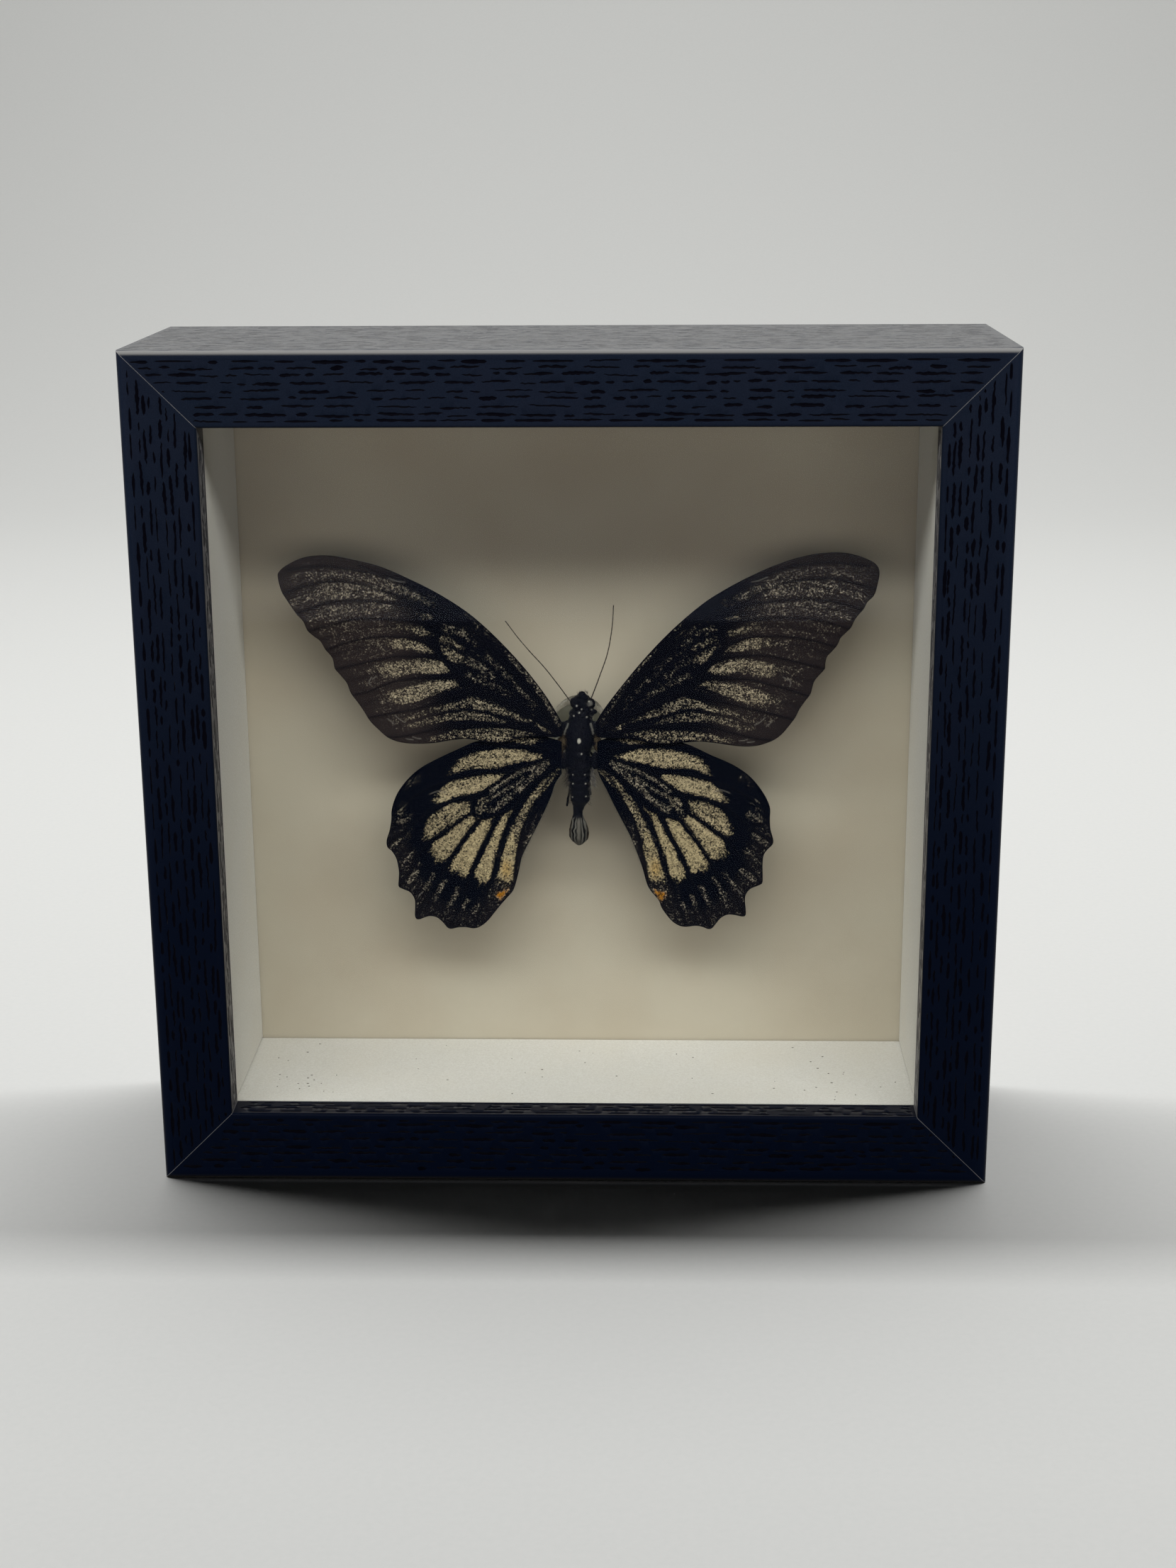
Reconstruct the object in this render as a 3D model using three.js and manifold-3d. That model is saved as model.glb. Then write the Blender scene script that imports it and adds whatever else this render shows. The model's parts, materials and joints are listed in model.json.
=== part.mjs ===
// A swallowtail butterfly glued to a clear post inside a deep, square shadow box frame.
// Millimetres, +Z up. The glass faces -Y and the origin lies under the middle of the base.
// Depths are counted from the front face of the frame, so the front of the box is depth 0.
import * as THREE from 'three';
import { mergeVertices } from 'three/addons/utils/BufferGeometryUtils.js';
import Module from 'manifold-3d';

const wasm = await Module();
wasm.setup();

// Frame
const frameSide = 150;
const frameDepth = 46;
const railFace = 12.9;
const railWall = 8;
const lipDepth = 5.7;
const outerRound = 1;
const innerRound = 0.5;
const roundSteps = 4;
const gap = 0.3;

// What stands in the rebate, from the glass to the back panel
const glassThickness = 1.2;
const linerReveal = 0.5;
const backingDepth = 38;
const backingThickness = 3;
const panelThickness = 2;

// Bent metal tabs and the hanger on the back panel
const tabLength = 12;
const tabWidth = 5;
const tabThickness = 0.5;
const tabSpread = 36;
const hangerLength = 45;
const hangerHeight = 7;
const hangerThickness = 0.8;
const hangerDrop = 24;
const hangerTeeth = 13;
const hangerToothDepth = 1.4;
const nailRadius = 1.1;
const nailHeight = 0.7;

// Specimen
const postRadius = 5;
const postLength = 6.7;
const postX = 0.4;
const postZ = 77.25;
const bodyX = 0.65;
const bodyDepth = 28;
const forewingDepth = 26;
const hindwingDepth = 26.65;
const wingThickness = 0.35;
const antennaRadius = 0.13;
const legRadius = 0.22;

const centreHeight = frameSide / 2;
const insideHalf = centreHeight - railWall - gap;
const linerThickness = railFace - linerReveal - railWall - gap;

// World Y of a depth counted from the front face
function atDepth(depth) {
  return depth - frameDepth / 2;
}

function finish(color, roughness, metalness = 0) {
  return new THREE.MeshStandardMaterial({ color, roughness, metalness });
}

const foil = finish(0x161b26, 0.45);
const glass = new THREE.MeshStandardMaterial({
  color: 0xeef2f0, roughness: 0.05, metalness: 0, transparent: true, opacity: 0.25,
});
const linerBoard = finish(0xd8d8cc, 0.8);
const backingPaper = finish(0xd9d4bd, 0.85);
const hardboard = finish(0x5d4330, 0.8);
const zincSteel = finish(0xa8abad, 0.4, 0.9);
const clearPlastic = finish(0xe6ebe8, 0.15);
const forewingScales = finish(0x2b2522, 0.85);
const hindwingScales = finish(0x15161c, 0.85);
const bodyChitin = finish(0x14151a, 0.6);
const antennaChitin = finish(0x2a221c, 0.6);

const model = new THREE.Group();

function addMesh(name, geometry, material, parent = model) {
  const mesh = new THREE.Mesh(geometry, material);
  mesh.name = name;
  parent.add(mesh);
  return mesh;
}

// Section of a rail: x runs inward from the outer side, y runs back from the front face
function railSection() {
  const section = new THREE.Shape();
  section.moveTo(0, outerRound);
  section.absarc(outerRound, outerRound, outerRound, Math.PI, Math.PI * 1.5, false);
  section.lineTo(railFace - innerRound, 0);
  section.absarc(railFace - innerRound, innerRound, innerRound, Math.PI * 1.5, Math.PI * 2, false);
  section.lineTo(railFace, lipDepth);
  section.lineTo(railWall, lipDepth);
  section.lineTo(railWall, frameDepth);
  section.lineTo(0, frameDepth);
  section.closePath();
  return section;
}

// A rail lying along X under the centre of the frame, its ends cut to 45 degree mitres
function railGeometry() {
  const rail = new THREE.ExtrudeGeometry(railSection(), {
    depth: 1, bevelEnabled: false, curveSegments: roundSteps,
  });
  const mitreGap = gap / 2 * Math.SQRT2;
  const position = rail.attributes.position;
  for (let i = 0; i < position.count; i += 1) {
    const halfLength = frameSide / 2 - position.getX(i) - mitreGap;
    const side = position.getZ(i) > 0.5 ? 1 : -1;
    position.setZ(i, side * halfLength);
  }
  rail.rotateY(-Math.PI / 2);
  rail.translate(0, -frameDepth / 2, -frameSide / 2);
  return rail;
}

function addRails() {
  const rails = new THREE.Group();
  rails.position.z = centreHeight;
  ['rail_bottom', 'rail_left', 'rail_top', 'rail_right'].forEach((name, turn) => {
    const rail = addMesh(name, railGeometry(), foil, rails);
    rail.rotation.y = turn * Math.PI / 2;
  });
  model.add(rails);
}

function addGlass() {
  const pane = new THREE.BoxGeometry(2 * insideHalf, glassThickness, 2 * insideHalf);
  const mesh = addMesh('glass_pane', pane, glass);
  mesh.position.set(0, atDepth(lipDepth + gap + glassThickness / 2), centreHeight);
}

// Four board strips hold the glass off the backing. The side strips stand between the other two.
function addLiners() {
  const front = lipDepth + gap + glassThickness + gap;
  const depth = backingDepth - gap - front;
  const offset = insideHalf - linerThickness / 2;
  const sideHeight = 2 * (insideHalf - linerThickness - gap);
  const y = atDepth(front + depth / 2);
  const level = new THREE.BoxGeometry(2 * insideHalf, depth, linerThickness);
  const upright = new THREE.BoxGeometry(linerThickness, depth, sideHeight);
  addMesh('liner_top', level, linerBoard).position.set(0, y, centreHeight + offset);
  addMesh('liner_bottom', level, linerBoard).position.set(0, y, centreHeight - offset);
  addMesh('liner_left', upright, linerBoard).position.set(-offset, y, centreHeight);
  addMesh('liner_right', upright, linerBoard).position.set(offset, y, centreHeight);
}

function addBackBoards() {
  const side = 2 * insideHalf;
  const backing = addMesh('backing_board', new THREE.BoxGeometry(side, backingThickness, side), backingPaper);
  backing.position.set(0, atDepth(backingDepth + backingThickness / 2), centreHeight);
  const panel = addMesh('back_panel', new THREE.BoxGeometry(side, panelThickness, side), hardboard);
  const panelDepth = backingDepth + backingThickness + gap + panelThickness / 2;
  panel.position.set(0, atDepth(panelDepth), centreHeight);
}

const onPanel = backingDepth + backingThickness + gap + panelThickness + gap;

// A tab with one rounded end, pointing in +X from the rail it is pressed into
function tabGeometry() {
  const outline = new THREE.Shape();
  const half = tabWidth / 2;
  outline.moveTo(0, -half);
  outline.lineTo(tabLength - half, -half);
  outline.absarc(tabLength - half, 0, half, -Math.PI / 2, Math.PI / 2, false);
  outline.lineTo(0, half);
  outline.closePath();
  const tab = new THREE.ExtrudeGeometry(outline, {
    depth: tabThickness, bevelEnabled: false, curveSegments: 8,
  });
  tab.rotateX(Math.PI / 2);
  return tab;
}

// Two tabs for each side, set in pairs around the panel
function addTabs() {
  for (let side = 0; side < 4; side += 1) {
    const arm = new THREE.Group();
    arm.position.set(0, atDepth(onPanel + tabThickness), centreHeight);
    arm.rotation.y = side * Math.PI / 2;
    [-1, 1].forEach((end, index) => {
      const tab = addMesh(`panel_tab_${side * 2 + index + 1}`, tabGeometry(), zincSteel, arm);
      tab.position.set(-insideHalf, 0, end * tabSpread);
    });
    model.add(arm);
  }
}

// A strip with a toothed lower edge and a nail hole at each end
function hangerGeometry() {
  const half = hangerLength / 2;
  const endPad = 6;
  const pitch = (hangerLength - 2 * endPad) / hangerTeeth;
  const outline = new THREE.Shape();
  outline.moveTo(-half, 0);
  outline.lineTo(-half + endPad, 0);
  for (let tooth = 0; tooth < hangerTeeth; tooth += 1) {
    const x = -half + endPad + tooth * pitch;
    outline.lineTo(x + pitch / 2, hangerToothDepth);
    outline.lineTo(x + pitch, 0);
  }
  outline.lineTo(half, 0);
  outline.lineTo(half, hangerHeight);
  outline.lineTo(-half, hangerHeight);
  outline.closePath();
  const strip = new THREE.ExtrudeGeometry(outline, { depth: hangerThickness, bevelEnabled: false });
  strip.rotateX(Math.PI / 2);
  return strip;
}

function addHanger() {
  const top = centreHeight + insideHalf - hangerDrop;
  const back = onPanel + hangerThickness;
  addMesh('hanger', hangerGeometry(), zincSteel).position.set(0, atDepth(back), top);
  const profile = [[0, 0], [nailRadius, 0], [nailRadius * 0.8, nailHeight * 0.7], [0, nailHeight]];
  const head = new THREE.LatheGeometry(profile.map(([r, y]) => new THREE.Vector2(r, y)), 16);
  [-1, 1].forEach((side, index) => {
    const nail = addMesh(`hanger_nail_${index + 1}`, head, zincSteel);
    const x = side * (hangerLength / 2 - 3);
    nail.position.set(x, atDepth(back + gap), top + hangerHeight / 2);
  });
}

function addPost() {
  const bevel = 0.3;
  const profile = [
    [0, 0], [postRadius - bevel, 0], [postRadius, bevel],
    [postRadius, postLength - bevel], [postRadius - bevel, postLength], [0, postLength],
  ];
  const post = new THREE.LatheGeometry(profile.map(([r, y]) => new THREE.Vector2(r, y)), 40);
  const mesh = addMesh('mount_post', post, clearPlastic);
  mesh.position.set(postX, atDepth(backingDepth - gap - postLength), postZ);
}

// Wing outlines as seen from the front, [x, z], from the root along the leading edge,
// round the tip, back along the outer margin and in along the trailing edge.
const forewingLeft = [
  [-2.3, 79.6], [-5, 84.3], [-8.2, 88.8], [-11.8, 93.1], [-16, 97.45], [-20, 100.86],
  [-25, 104.1], [-30, 106.7], [-35, 108.9], [-40, 110.2], [-44, 110.9], [-47.5, 110.85],
  [-50, 110.2], [-52.3, 109], [-53.5, 107.9], [-53.65, 106.9], [-53.2, 104.7], [-52.4, 103.1],
  [-51.3, 101.3], [-50.4, 100], [-49.4, 98.8], [-48.7, 97.2], [-47.6, 96.1], [-46.4, 95.1],
  [-45.6, 93.7], [-44.3, 91.9], [-43.95, 90.1], [-42.9, 88.7], [-41.8, 87.2], [-41.2, 85.5],
  [-40, 83.7], [-38.9, 82], [-37.7, 80], [-36.5, 78.7], [-34.9, 77.2], [-33.2, 76.3],
  [-31, 75.85], [-28.7, 75.75], [-26, 75.9], [-23.5, 76.35], [-20.5, 76.7], [-18.2, 76.45],
  [-16.3, 75.95], [-14.2, 75.8], [-12.4, 76.25], [-10, 76.9], [-7, 77.15], [-4, 77], [-2.4, 77.2],
];
const forewingRight = [
  [3.8, 79.8], [5.2, 82.2], [8, 86], [12, 91], [16, 95.45], [20, 99.3], [24, 102.6],
  [28, 105.1], [32, 107.2], [36, 109], [40, 110.4], [44, 111.27], [48, 111.43], [51, 110.85],
  [53.5, 109.85], [54.6, 108.9], [54.95, 107.7], [54.7, 105.9], [54.1, 103.7], [52.9, 102.4],
  [52.3, 101.2], [51.3, 100], [50.6, 98.9], [50.1, 97.8], [49.1, 96.7], [48.2, 95.7],
  [47.75, 94.6], [46.7, 93.2], [45.9, 92.3], [45.6, 91.05], [45.5, 90], [44.3, 88.55],
  [43.65, 87.6], [43.3, 86.4], [43, 85.3], [41.95, 83.8], [41.05, 82.4], [40.2, 80.7],
  [38.2, 78], [36.6, 76.66], [35, 75.95], [33.5, 75.5], [31.5, 75.33], [29, 75.5], [26, 75.95],
  [23, 76.25], [20, 76.05], [17, 75.8], [14.5, 75.7], [12.5, 76.2], [10, 76.65], [7, 76.85],
  [5, 76.9], [3.9, 77.2],
];
const hindwingLeft = [
  [-2.5, 76], [-6, 77], [-10, 77.2], [-14, 76.9], [-17.25, 76.25], [-19, 75.8], [-21, 74.9],
  [-25, 73], [-28.5, 71.1], [-31, 69], [-33.25, 66], [-34.35, 63], [-34.5, 61], [-34.9, 58.8],
  [-35.5, 56.9], [-35.4, 55.5], [-34.6, 54.7], [-33.8, 53.2], [-33.4, 50.9], [-33.45, 49.3],
  [-33.5, 47.8], [-32.6, 47.2], [-31.4, 46.6], [-30.6, 45.3], [-30.5, 43.8], [-30.6, 42.1],
  [-30.3, 41.3], [-29.6, 41.25], [-28.6, 41.65], [-27.6, 41.85], [-26.4, 41.55], [-25.3, 40.6],
  [-24.5, 39.6], [-23.7, 39.35], [-22.5, 39.6], [-21, 39.65], [-19.5, 39.45], [-18.2, 39.85],
  [-16.7, 41.1], [-14.6, 43.8], [-13, 45.7], [-12, 46.9], [-11.4, 48.5], [-10.7, 51.3],
  [-10.2, 53.6], [-8.9, 56.4], [-7.4, 59.4], [-5.9, 62.5], [-4.6, 65.5], [-3.8, 67.9], [-2.6, 69.8],
];
const hindwingRight = [
  [4.0, 76], [7, 77], [11, 77.3], [15, 77.1], [18, 76.4], [21.5, 75.2], [25, 73.5], [29, 71.7],
  [32.2, 69.45], [34.6, 66.5], [36, 63.6], [36.05, 61.3], [36.2, 59.2], [36.75, 57.2],
  [36.6, 56.2], [35.6, 55.1], [35, 54], [34.85, 52.2], [34.9, 50], [34.8, 48.7], [33.9, 48.1],
  [32.6, 47.5], [31.8, 46.4], [31.65, 45.2], [31.8, 43.6], [31.8, 42.4], [31.2, 42.05],
  [29.9, 42.3], [28.5, 42.4], [27.2, 41.75], [26.3, 40.65], [25.5, 39.65], [24.7, 39.5],
  [23.7, 39.9], [22.4, 40.1], [20.8, 39.95], [19.4, 40.1], [17.8, 41.2], [16.1, 43.5],
  [15.5, 45.05], [14.7, 46.1], [13.9, 47.1], [13.2, 48.5], [12.3, 51.8], [11.3, 54.7],
  [10, 58], [8.5, 61], [7, 64], [5.7, 66.8], [4.6, 69], [4, 70.6],
];

function wingGeometry(outline) {
  const shape = new THREE.Shape();
  shape.moveTo(...outline[0]);
  shape.splineThru(outline.slice(1).map(([x, z]) => new THREE.Vector2(x, z)));
  shape.closePath();
  const wing = new THREE.ExtrudeGeometry(shape, {
    depth: wingThickness, bevelEnabled: false, curveSegments: 2,
  });
  wing.rotateX(Math.PI / 2);
  return wing;
}

function addWing(name, outline, depth, material) {
  addMesh(name, wingGeometry(outline), material).position.y = atDepth(depth + wingThickness);
}

// A thin rod along a route of [x, depth, z] points
function rodGeometry(route, radius, steps) {
  const points = route.map(([x, depth, z]) => new THREE.Vector3(x, atDepth(depth), z));
  const section = new THREE.Shape().absarc(0, 0, radius, 0, Math.PI * 2, false);
  return new THREE.ExtrudeGeometry(section, {
    steps, bevelEnabled: false, curveSegments: 3, extrudePath: new THREE.CatmullRomCurve3(points),
  });
}

const antennaLeft = [
  [-1.35, 27.6, 84.1], [-3, 27.3, 86.5], [-5.6, 27, 90], [-8.2, 26.8, 93],
  [-10.3, 26.6, 95.6], [-12.6, 26.5, 98.8],
];
const antennaRight = [
  [3.25, 27.6, 84.9], [4.5, 27.2, 88.3], [5.95, 26.9, 92.6], [6.8, 26.7, 97.4], [7.1, 26.5, 101.7],
];

function toSolid(geometry) {
  const bare = geometry.clone();
  bare.deleteAttribute('normal');
  bare.deleteAttribute('uv');
  const merged = mergeVertices(bare, 1e-4);
  return new wasm.Manifold(new wasm.Mesh({
    numProp: 3,
    vertProperties: new Float32Array(merged.attributes.position.array),
    triVerts: new Uint32Array(merged.index.array),
  }));
}

function toGeometry(solid) {
  const mesh = solid.getMesh();
  const geometry = new THREE.BufferGeometry();
  geometry.setAttribute('position', new THREE.BufferAttribute(mesh.vertProperties, 3));
  geometry.setIndex(new THREE.BufferAttribute(mesh.triVerts, 1));
  geometry.computeVertexNormals();
  return geometry;
}

// A rounded lump of the body: centre and half sizes along X, depth and Z
function lump([x, depth, z], [halfX, halfY, halfZ], columns = 16, rows = 10) {
  const ball = new THREE.SphereGeometry(1, columns, rows);
  ball.rotateX(Math.PI / 2);
  ball.scale(halfX, halfY, halfZ);
  ball.translate(x, atDepth(depth), z);
  return ball;
}

// Abdomen, narrow waist and claspers as one turned form, [radius, z] from the tip upwards
function abdomenGeometry() {
  const flatten = 0.86;
  const profile = [
    [0, 55.5], [0.6, 55.8], [1.3, 56.5], [1.75, 57.3], [1.88, 58.1], [1.75, 58.9], [1.45, 59.8],
    [1.1, 60.7], [0.85, 61.5], [0.85, 62.3], [1, 63], [1.35, 63.7], [1.82, 64.5], [1.8, 65.2],
    [1.95, 65.9], [1.92, 66.6], [2.06, 67.3], [2.02, 68], [2.16, 68.7], [2.12, 69.4], [2.22, 70.1],
    [2.1, 71], [1.5, 72], [0, 72.6],
  ];
  const points = profile.map(([r, z]) => new THREE.Vector2(r, z));
  const abdomen = new THREE.LatheGeometry(points, 24);
  abdomen.rotateX(Math.PI / 2);
  abdomen.scale(1, flatten, 1);
  abdomen.translate(bodyX, atDepth(bodyDepth), 0);
  return abdomen;
}

// Half of the six folded legs, [x, depth, z]. The other half mirrors them about the body.
const foldedLegs = [
  [[-1.2, 28.8, 79.2], [-3.1, 29.3, 77.6], [-2.4, 29.6, 75.2], [-2.9, 29.8, 73.2]],
  [[-1.4, 28.9, 76.6], [-3.5, 29.2, 74.8], [-2.5, 29.6, 72.2], [-1.4, 29.9, 69.6]],
  [[-1.2, 28.9, 73.8], [-2.2, 29.5, 71.2], [-1.1, 29.9, 67.5], [-1.8, 28.9, 62.9]],
];

function bodyGeometry() {
  const lumps = [
    lump([bodyX + 0.05, bodyDepth, 76.3], [2.9, 2.6, 5.5], 24, 16),
    lump([1.1, bodyDepth, 81], [2.3, 1.7, 1.4]),
    lump([1.2, bodyDepth, 83.3], [1.8, 1.5, 1.7]),
    lump([2.75, 27.6, 83.1], [0.95, 0.95, 1.05]),
    lump([-0.1, 27.9, 83.2], [0.95, 0.95, 1.05]),
    lump([1.25, 27.3, 84.7], [0.8, 0.7, 0.75], 12, 8),
  ];
  const legs = foldedLegs.flatMap((route) => {
    const mirrored = route.map(([x, depth, z]) => [2 * bodyX - x, depth, z]);
    return [rodGeometry(route, legRadius, 12), rodGeometry(mirrored, legRadius, 12)];
  });
  return [abdomenGeometry(), ...lumps, ...legs]
    .map(toSolid)
    .reduce((whole, piece) => whole.add(piece));
}

function addSpecimen() {
  addMesh('butterfly_body', toGeometry(bodyGeometry()), bodyChitin);
  addWing('forewing_left', forewingLeft, forewingDepth, forewingScales);
  addWing('forewing_right', forewingRight, forewingDepth, forewingScales);
  addWing('hindwing_left', hindwingLeft, hindwingDepth, hindwingScales);
  addWing('hindwing_right', hindwingRight, hindwingDepth, hindwingScales);
  addMesh('antenna_left', rodGeometry(antennaLeft, antennaRadius, 18), antennaChitin);
  addMesh('antenna_right', rodGeometry(antennaRight, antennaRadius, 18), antennaChitin);
}

addRails();
addGlass();
addLiners();
addBackBoards();
addTabs();
addHanger();
addPost();
addSpecimen();

export default model;
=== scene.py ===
import json
import math

import bmesh
import bpy
import numpy as np
from mathutils import Matrix, Vector
from mathutils.geometry import delaunay_2d_cdt

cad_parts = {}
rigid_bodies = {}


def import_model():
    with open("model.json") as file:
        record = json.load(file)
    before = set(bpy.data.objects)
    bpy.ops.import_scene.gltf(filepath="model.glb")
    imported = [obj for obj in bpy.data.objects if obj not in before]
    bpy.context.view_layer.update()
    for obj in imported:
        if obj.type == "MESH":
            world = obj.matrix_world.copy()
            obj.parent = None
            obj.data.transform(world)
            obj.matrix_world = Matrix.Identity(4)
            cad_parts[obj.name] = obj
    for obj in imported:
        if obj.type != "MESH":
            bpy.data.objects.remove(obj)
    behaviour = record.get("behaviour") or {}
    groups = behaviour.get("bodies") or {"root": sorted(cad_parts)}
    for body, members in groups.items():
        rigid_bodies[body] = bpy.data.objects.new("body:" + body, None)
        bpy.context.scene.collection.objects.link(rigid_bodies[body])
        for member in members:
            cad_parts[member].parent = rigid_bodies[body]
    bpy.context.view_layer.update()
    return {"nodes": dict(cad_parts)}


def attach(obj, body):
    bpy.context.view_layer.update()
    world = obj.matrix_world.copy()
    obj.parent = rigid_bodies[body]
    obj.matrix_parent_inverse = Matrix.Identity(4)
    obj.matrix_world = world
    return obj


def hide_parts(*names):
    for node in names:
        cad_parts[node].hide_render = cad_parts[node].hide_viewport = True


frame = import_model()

scene = bpy.context.scene
rootBody = "root"
mm = 0.001
frontY = -23        # the front face of the frame in the row frame, where depth is counted from, in mm
print("frame loaded:", len(frame["nodes"]), "solids")


# ---- general helpers

def toMetres(points):
    # [x, depth, z] in mm becomes the row frame in metres
    points = np.asarray(points, float)
    return (points + np.array([0, frontY, 0])) * mm


def tone(red, green, blue):
    # a screen colour, 0 to 255, as the linear colour that a shader takes
    screen = np.array([red, green, blue]) / 255
    linear = np.where(screen <= 0.04045, screen / 12.92, ((screen + 0.055) / 1.055) ** 2.4)
    return (*linear.tolist(), 1.0)


def smoothStep(value, low, high):
    t = np.clip((value - low) / (high - low), 0, 1)
    return t * t * (3 - 2 * t)


def bell(distance, width):
    # 1 on a line and falling off on both sides of it
    return np.exp(-(distance / width) ** 2)


def spline(points, steps):
    # a smooth line through the points, with steps pieces from each to the next
    points = np.asarray(points, float)
    padded = np.vstack([points[:1], points, points[-1:]])
    t = (np.arange(steps) / steps)[:, None]
    parts = []
    for a, b, c, d in zip(padded[:-3], padded[1:-2], padded[2:-1], padded[3:]):
        v0, v1 = (c - a) / 2, (d - b) / 2
        parts.append((2 * b - 2 * c + v0 + v1) * t ** 3
                     + (-3 * b + 3 * c - 2 * v0 - v1) * t ** 2 + v0 * t + b)
    return np.vstack(parts + [points[-1:]])


def evenly(line, spacing):
    # the same line with points at equal distances
    run = np.concatenate([[0], np.cumsum(np.hypot(*np.diff(line, axis=0).T))])
    at = np.linspace(0, run[-1], max(2, int(round(run[-1] / spacing)) + 1))
    return np.stack([np.interp(at, run, line[:, k]) for k in range(2)], -1)


def lineDistance(points, line):
    best = np.full(len(points), 1e9)
    for a, b in zip(line[:-1], line[1:]):
        ab = b - a
        t = np.clip(((points - a) @ ab) / max(ab @ ab, 1e-12), 0, 1)
        best = np.minimum(best, np.hypot(*(points - a - t[:, None] * ab).T))
    return best


def insideDistance(points, polygon):
    # distance to the edge of a closed outline, above zero inside it
    closed = np.vstack([polygon, polygon[:1]])
    inside = np.zeros(len(points), bool)
    for (x1, z1), (x2, z2) in zip(closed[:-1], closed[1:]):
        crosses = (z1 > points[:, 1]) != (z2 > points[:, 1])
        edgeX = (x2 - x1) * (points[:, 1] - z1) / (z2 - z1 + 1e-12) + x1
        inside ^= crosses & (points[:, 0] < edgeX)
    distance = lineDistance(points, closed)
    return np.where(inside, distance, -distance)


def softNoise(points, cell, seed):
    # smooth noise from -1 to 1 with one knot in each cell
    knots = np.random.default_rng(seed).uniform(-1, 1, (256, 256))
    grid = points / cell + 1000
    base = np.floor(grid).astype(int)
    part = grid - base
    part = part * part * (3 - 2 * part)
    i, j = base.T % 256
    i1, j1 = (i + 1) % 256, (j + 1) % 256
    low = knots[i, j] * (1 - part[:, 0]) + knots[i1, j] * part[:, 0]
    high = knots[i, j1] * (1 - part[:, 0]) + knots[i1, j1] * part[:, 0]
    return low * (1 - part[:, 1]) + high * part[:, 1]


def addPiece(name, vertices, faces, material, replaced=(), fields=None, sharpAngle=None):
    # vertices in mm as [x, depth, z]
    mesh = bpy.data.meshes.new(name)
    mesh.from_pydata(toMetres(vertices).tolist(), [], [list(face) for face in faces])
    mesh.validate()
    mesh.materials.append(material)
    for field, values in (fields or {}).items():
        layer = mesh.attributes.new(field, "FLOAT", "POINT")
        layer.data.foreach_set("value", np.asarray(values, np.float32))
    if sharpAngle is not None:
        mesh.shade_smooth()
        mesh.set_sharp_from_angle(angle=math.radians(sharpAngle))
    piece = bpy.data.objects.new(name, mesh)
    scene.collection.objects.link(piece)
    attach(piece, rootBody)
    if replaced:
        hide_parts(*replaced)
    return piece


def fixNormals(piece):
    # turns every face outward
    work = bmesh.new()
    work.from_mesh(piece.data)
    bmesh.ops.recalc_face_normals(work, faces=work.faces)
    work.to_mesh(piece.data)
    work.free()


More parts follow.
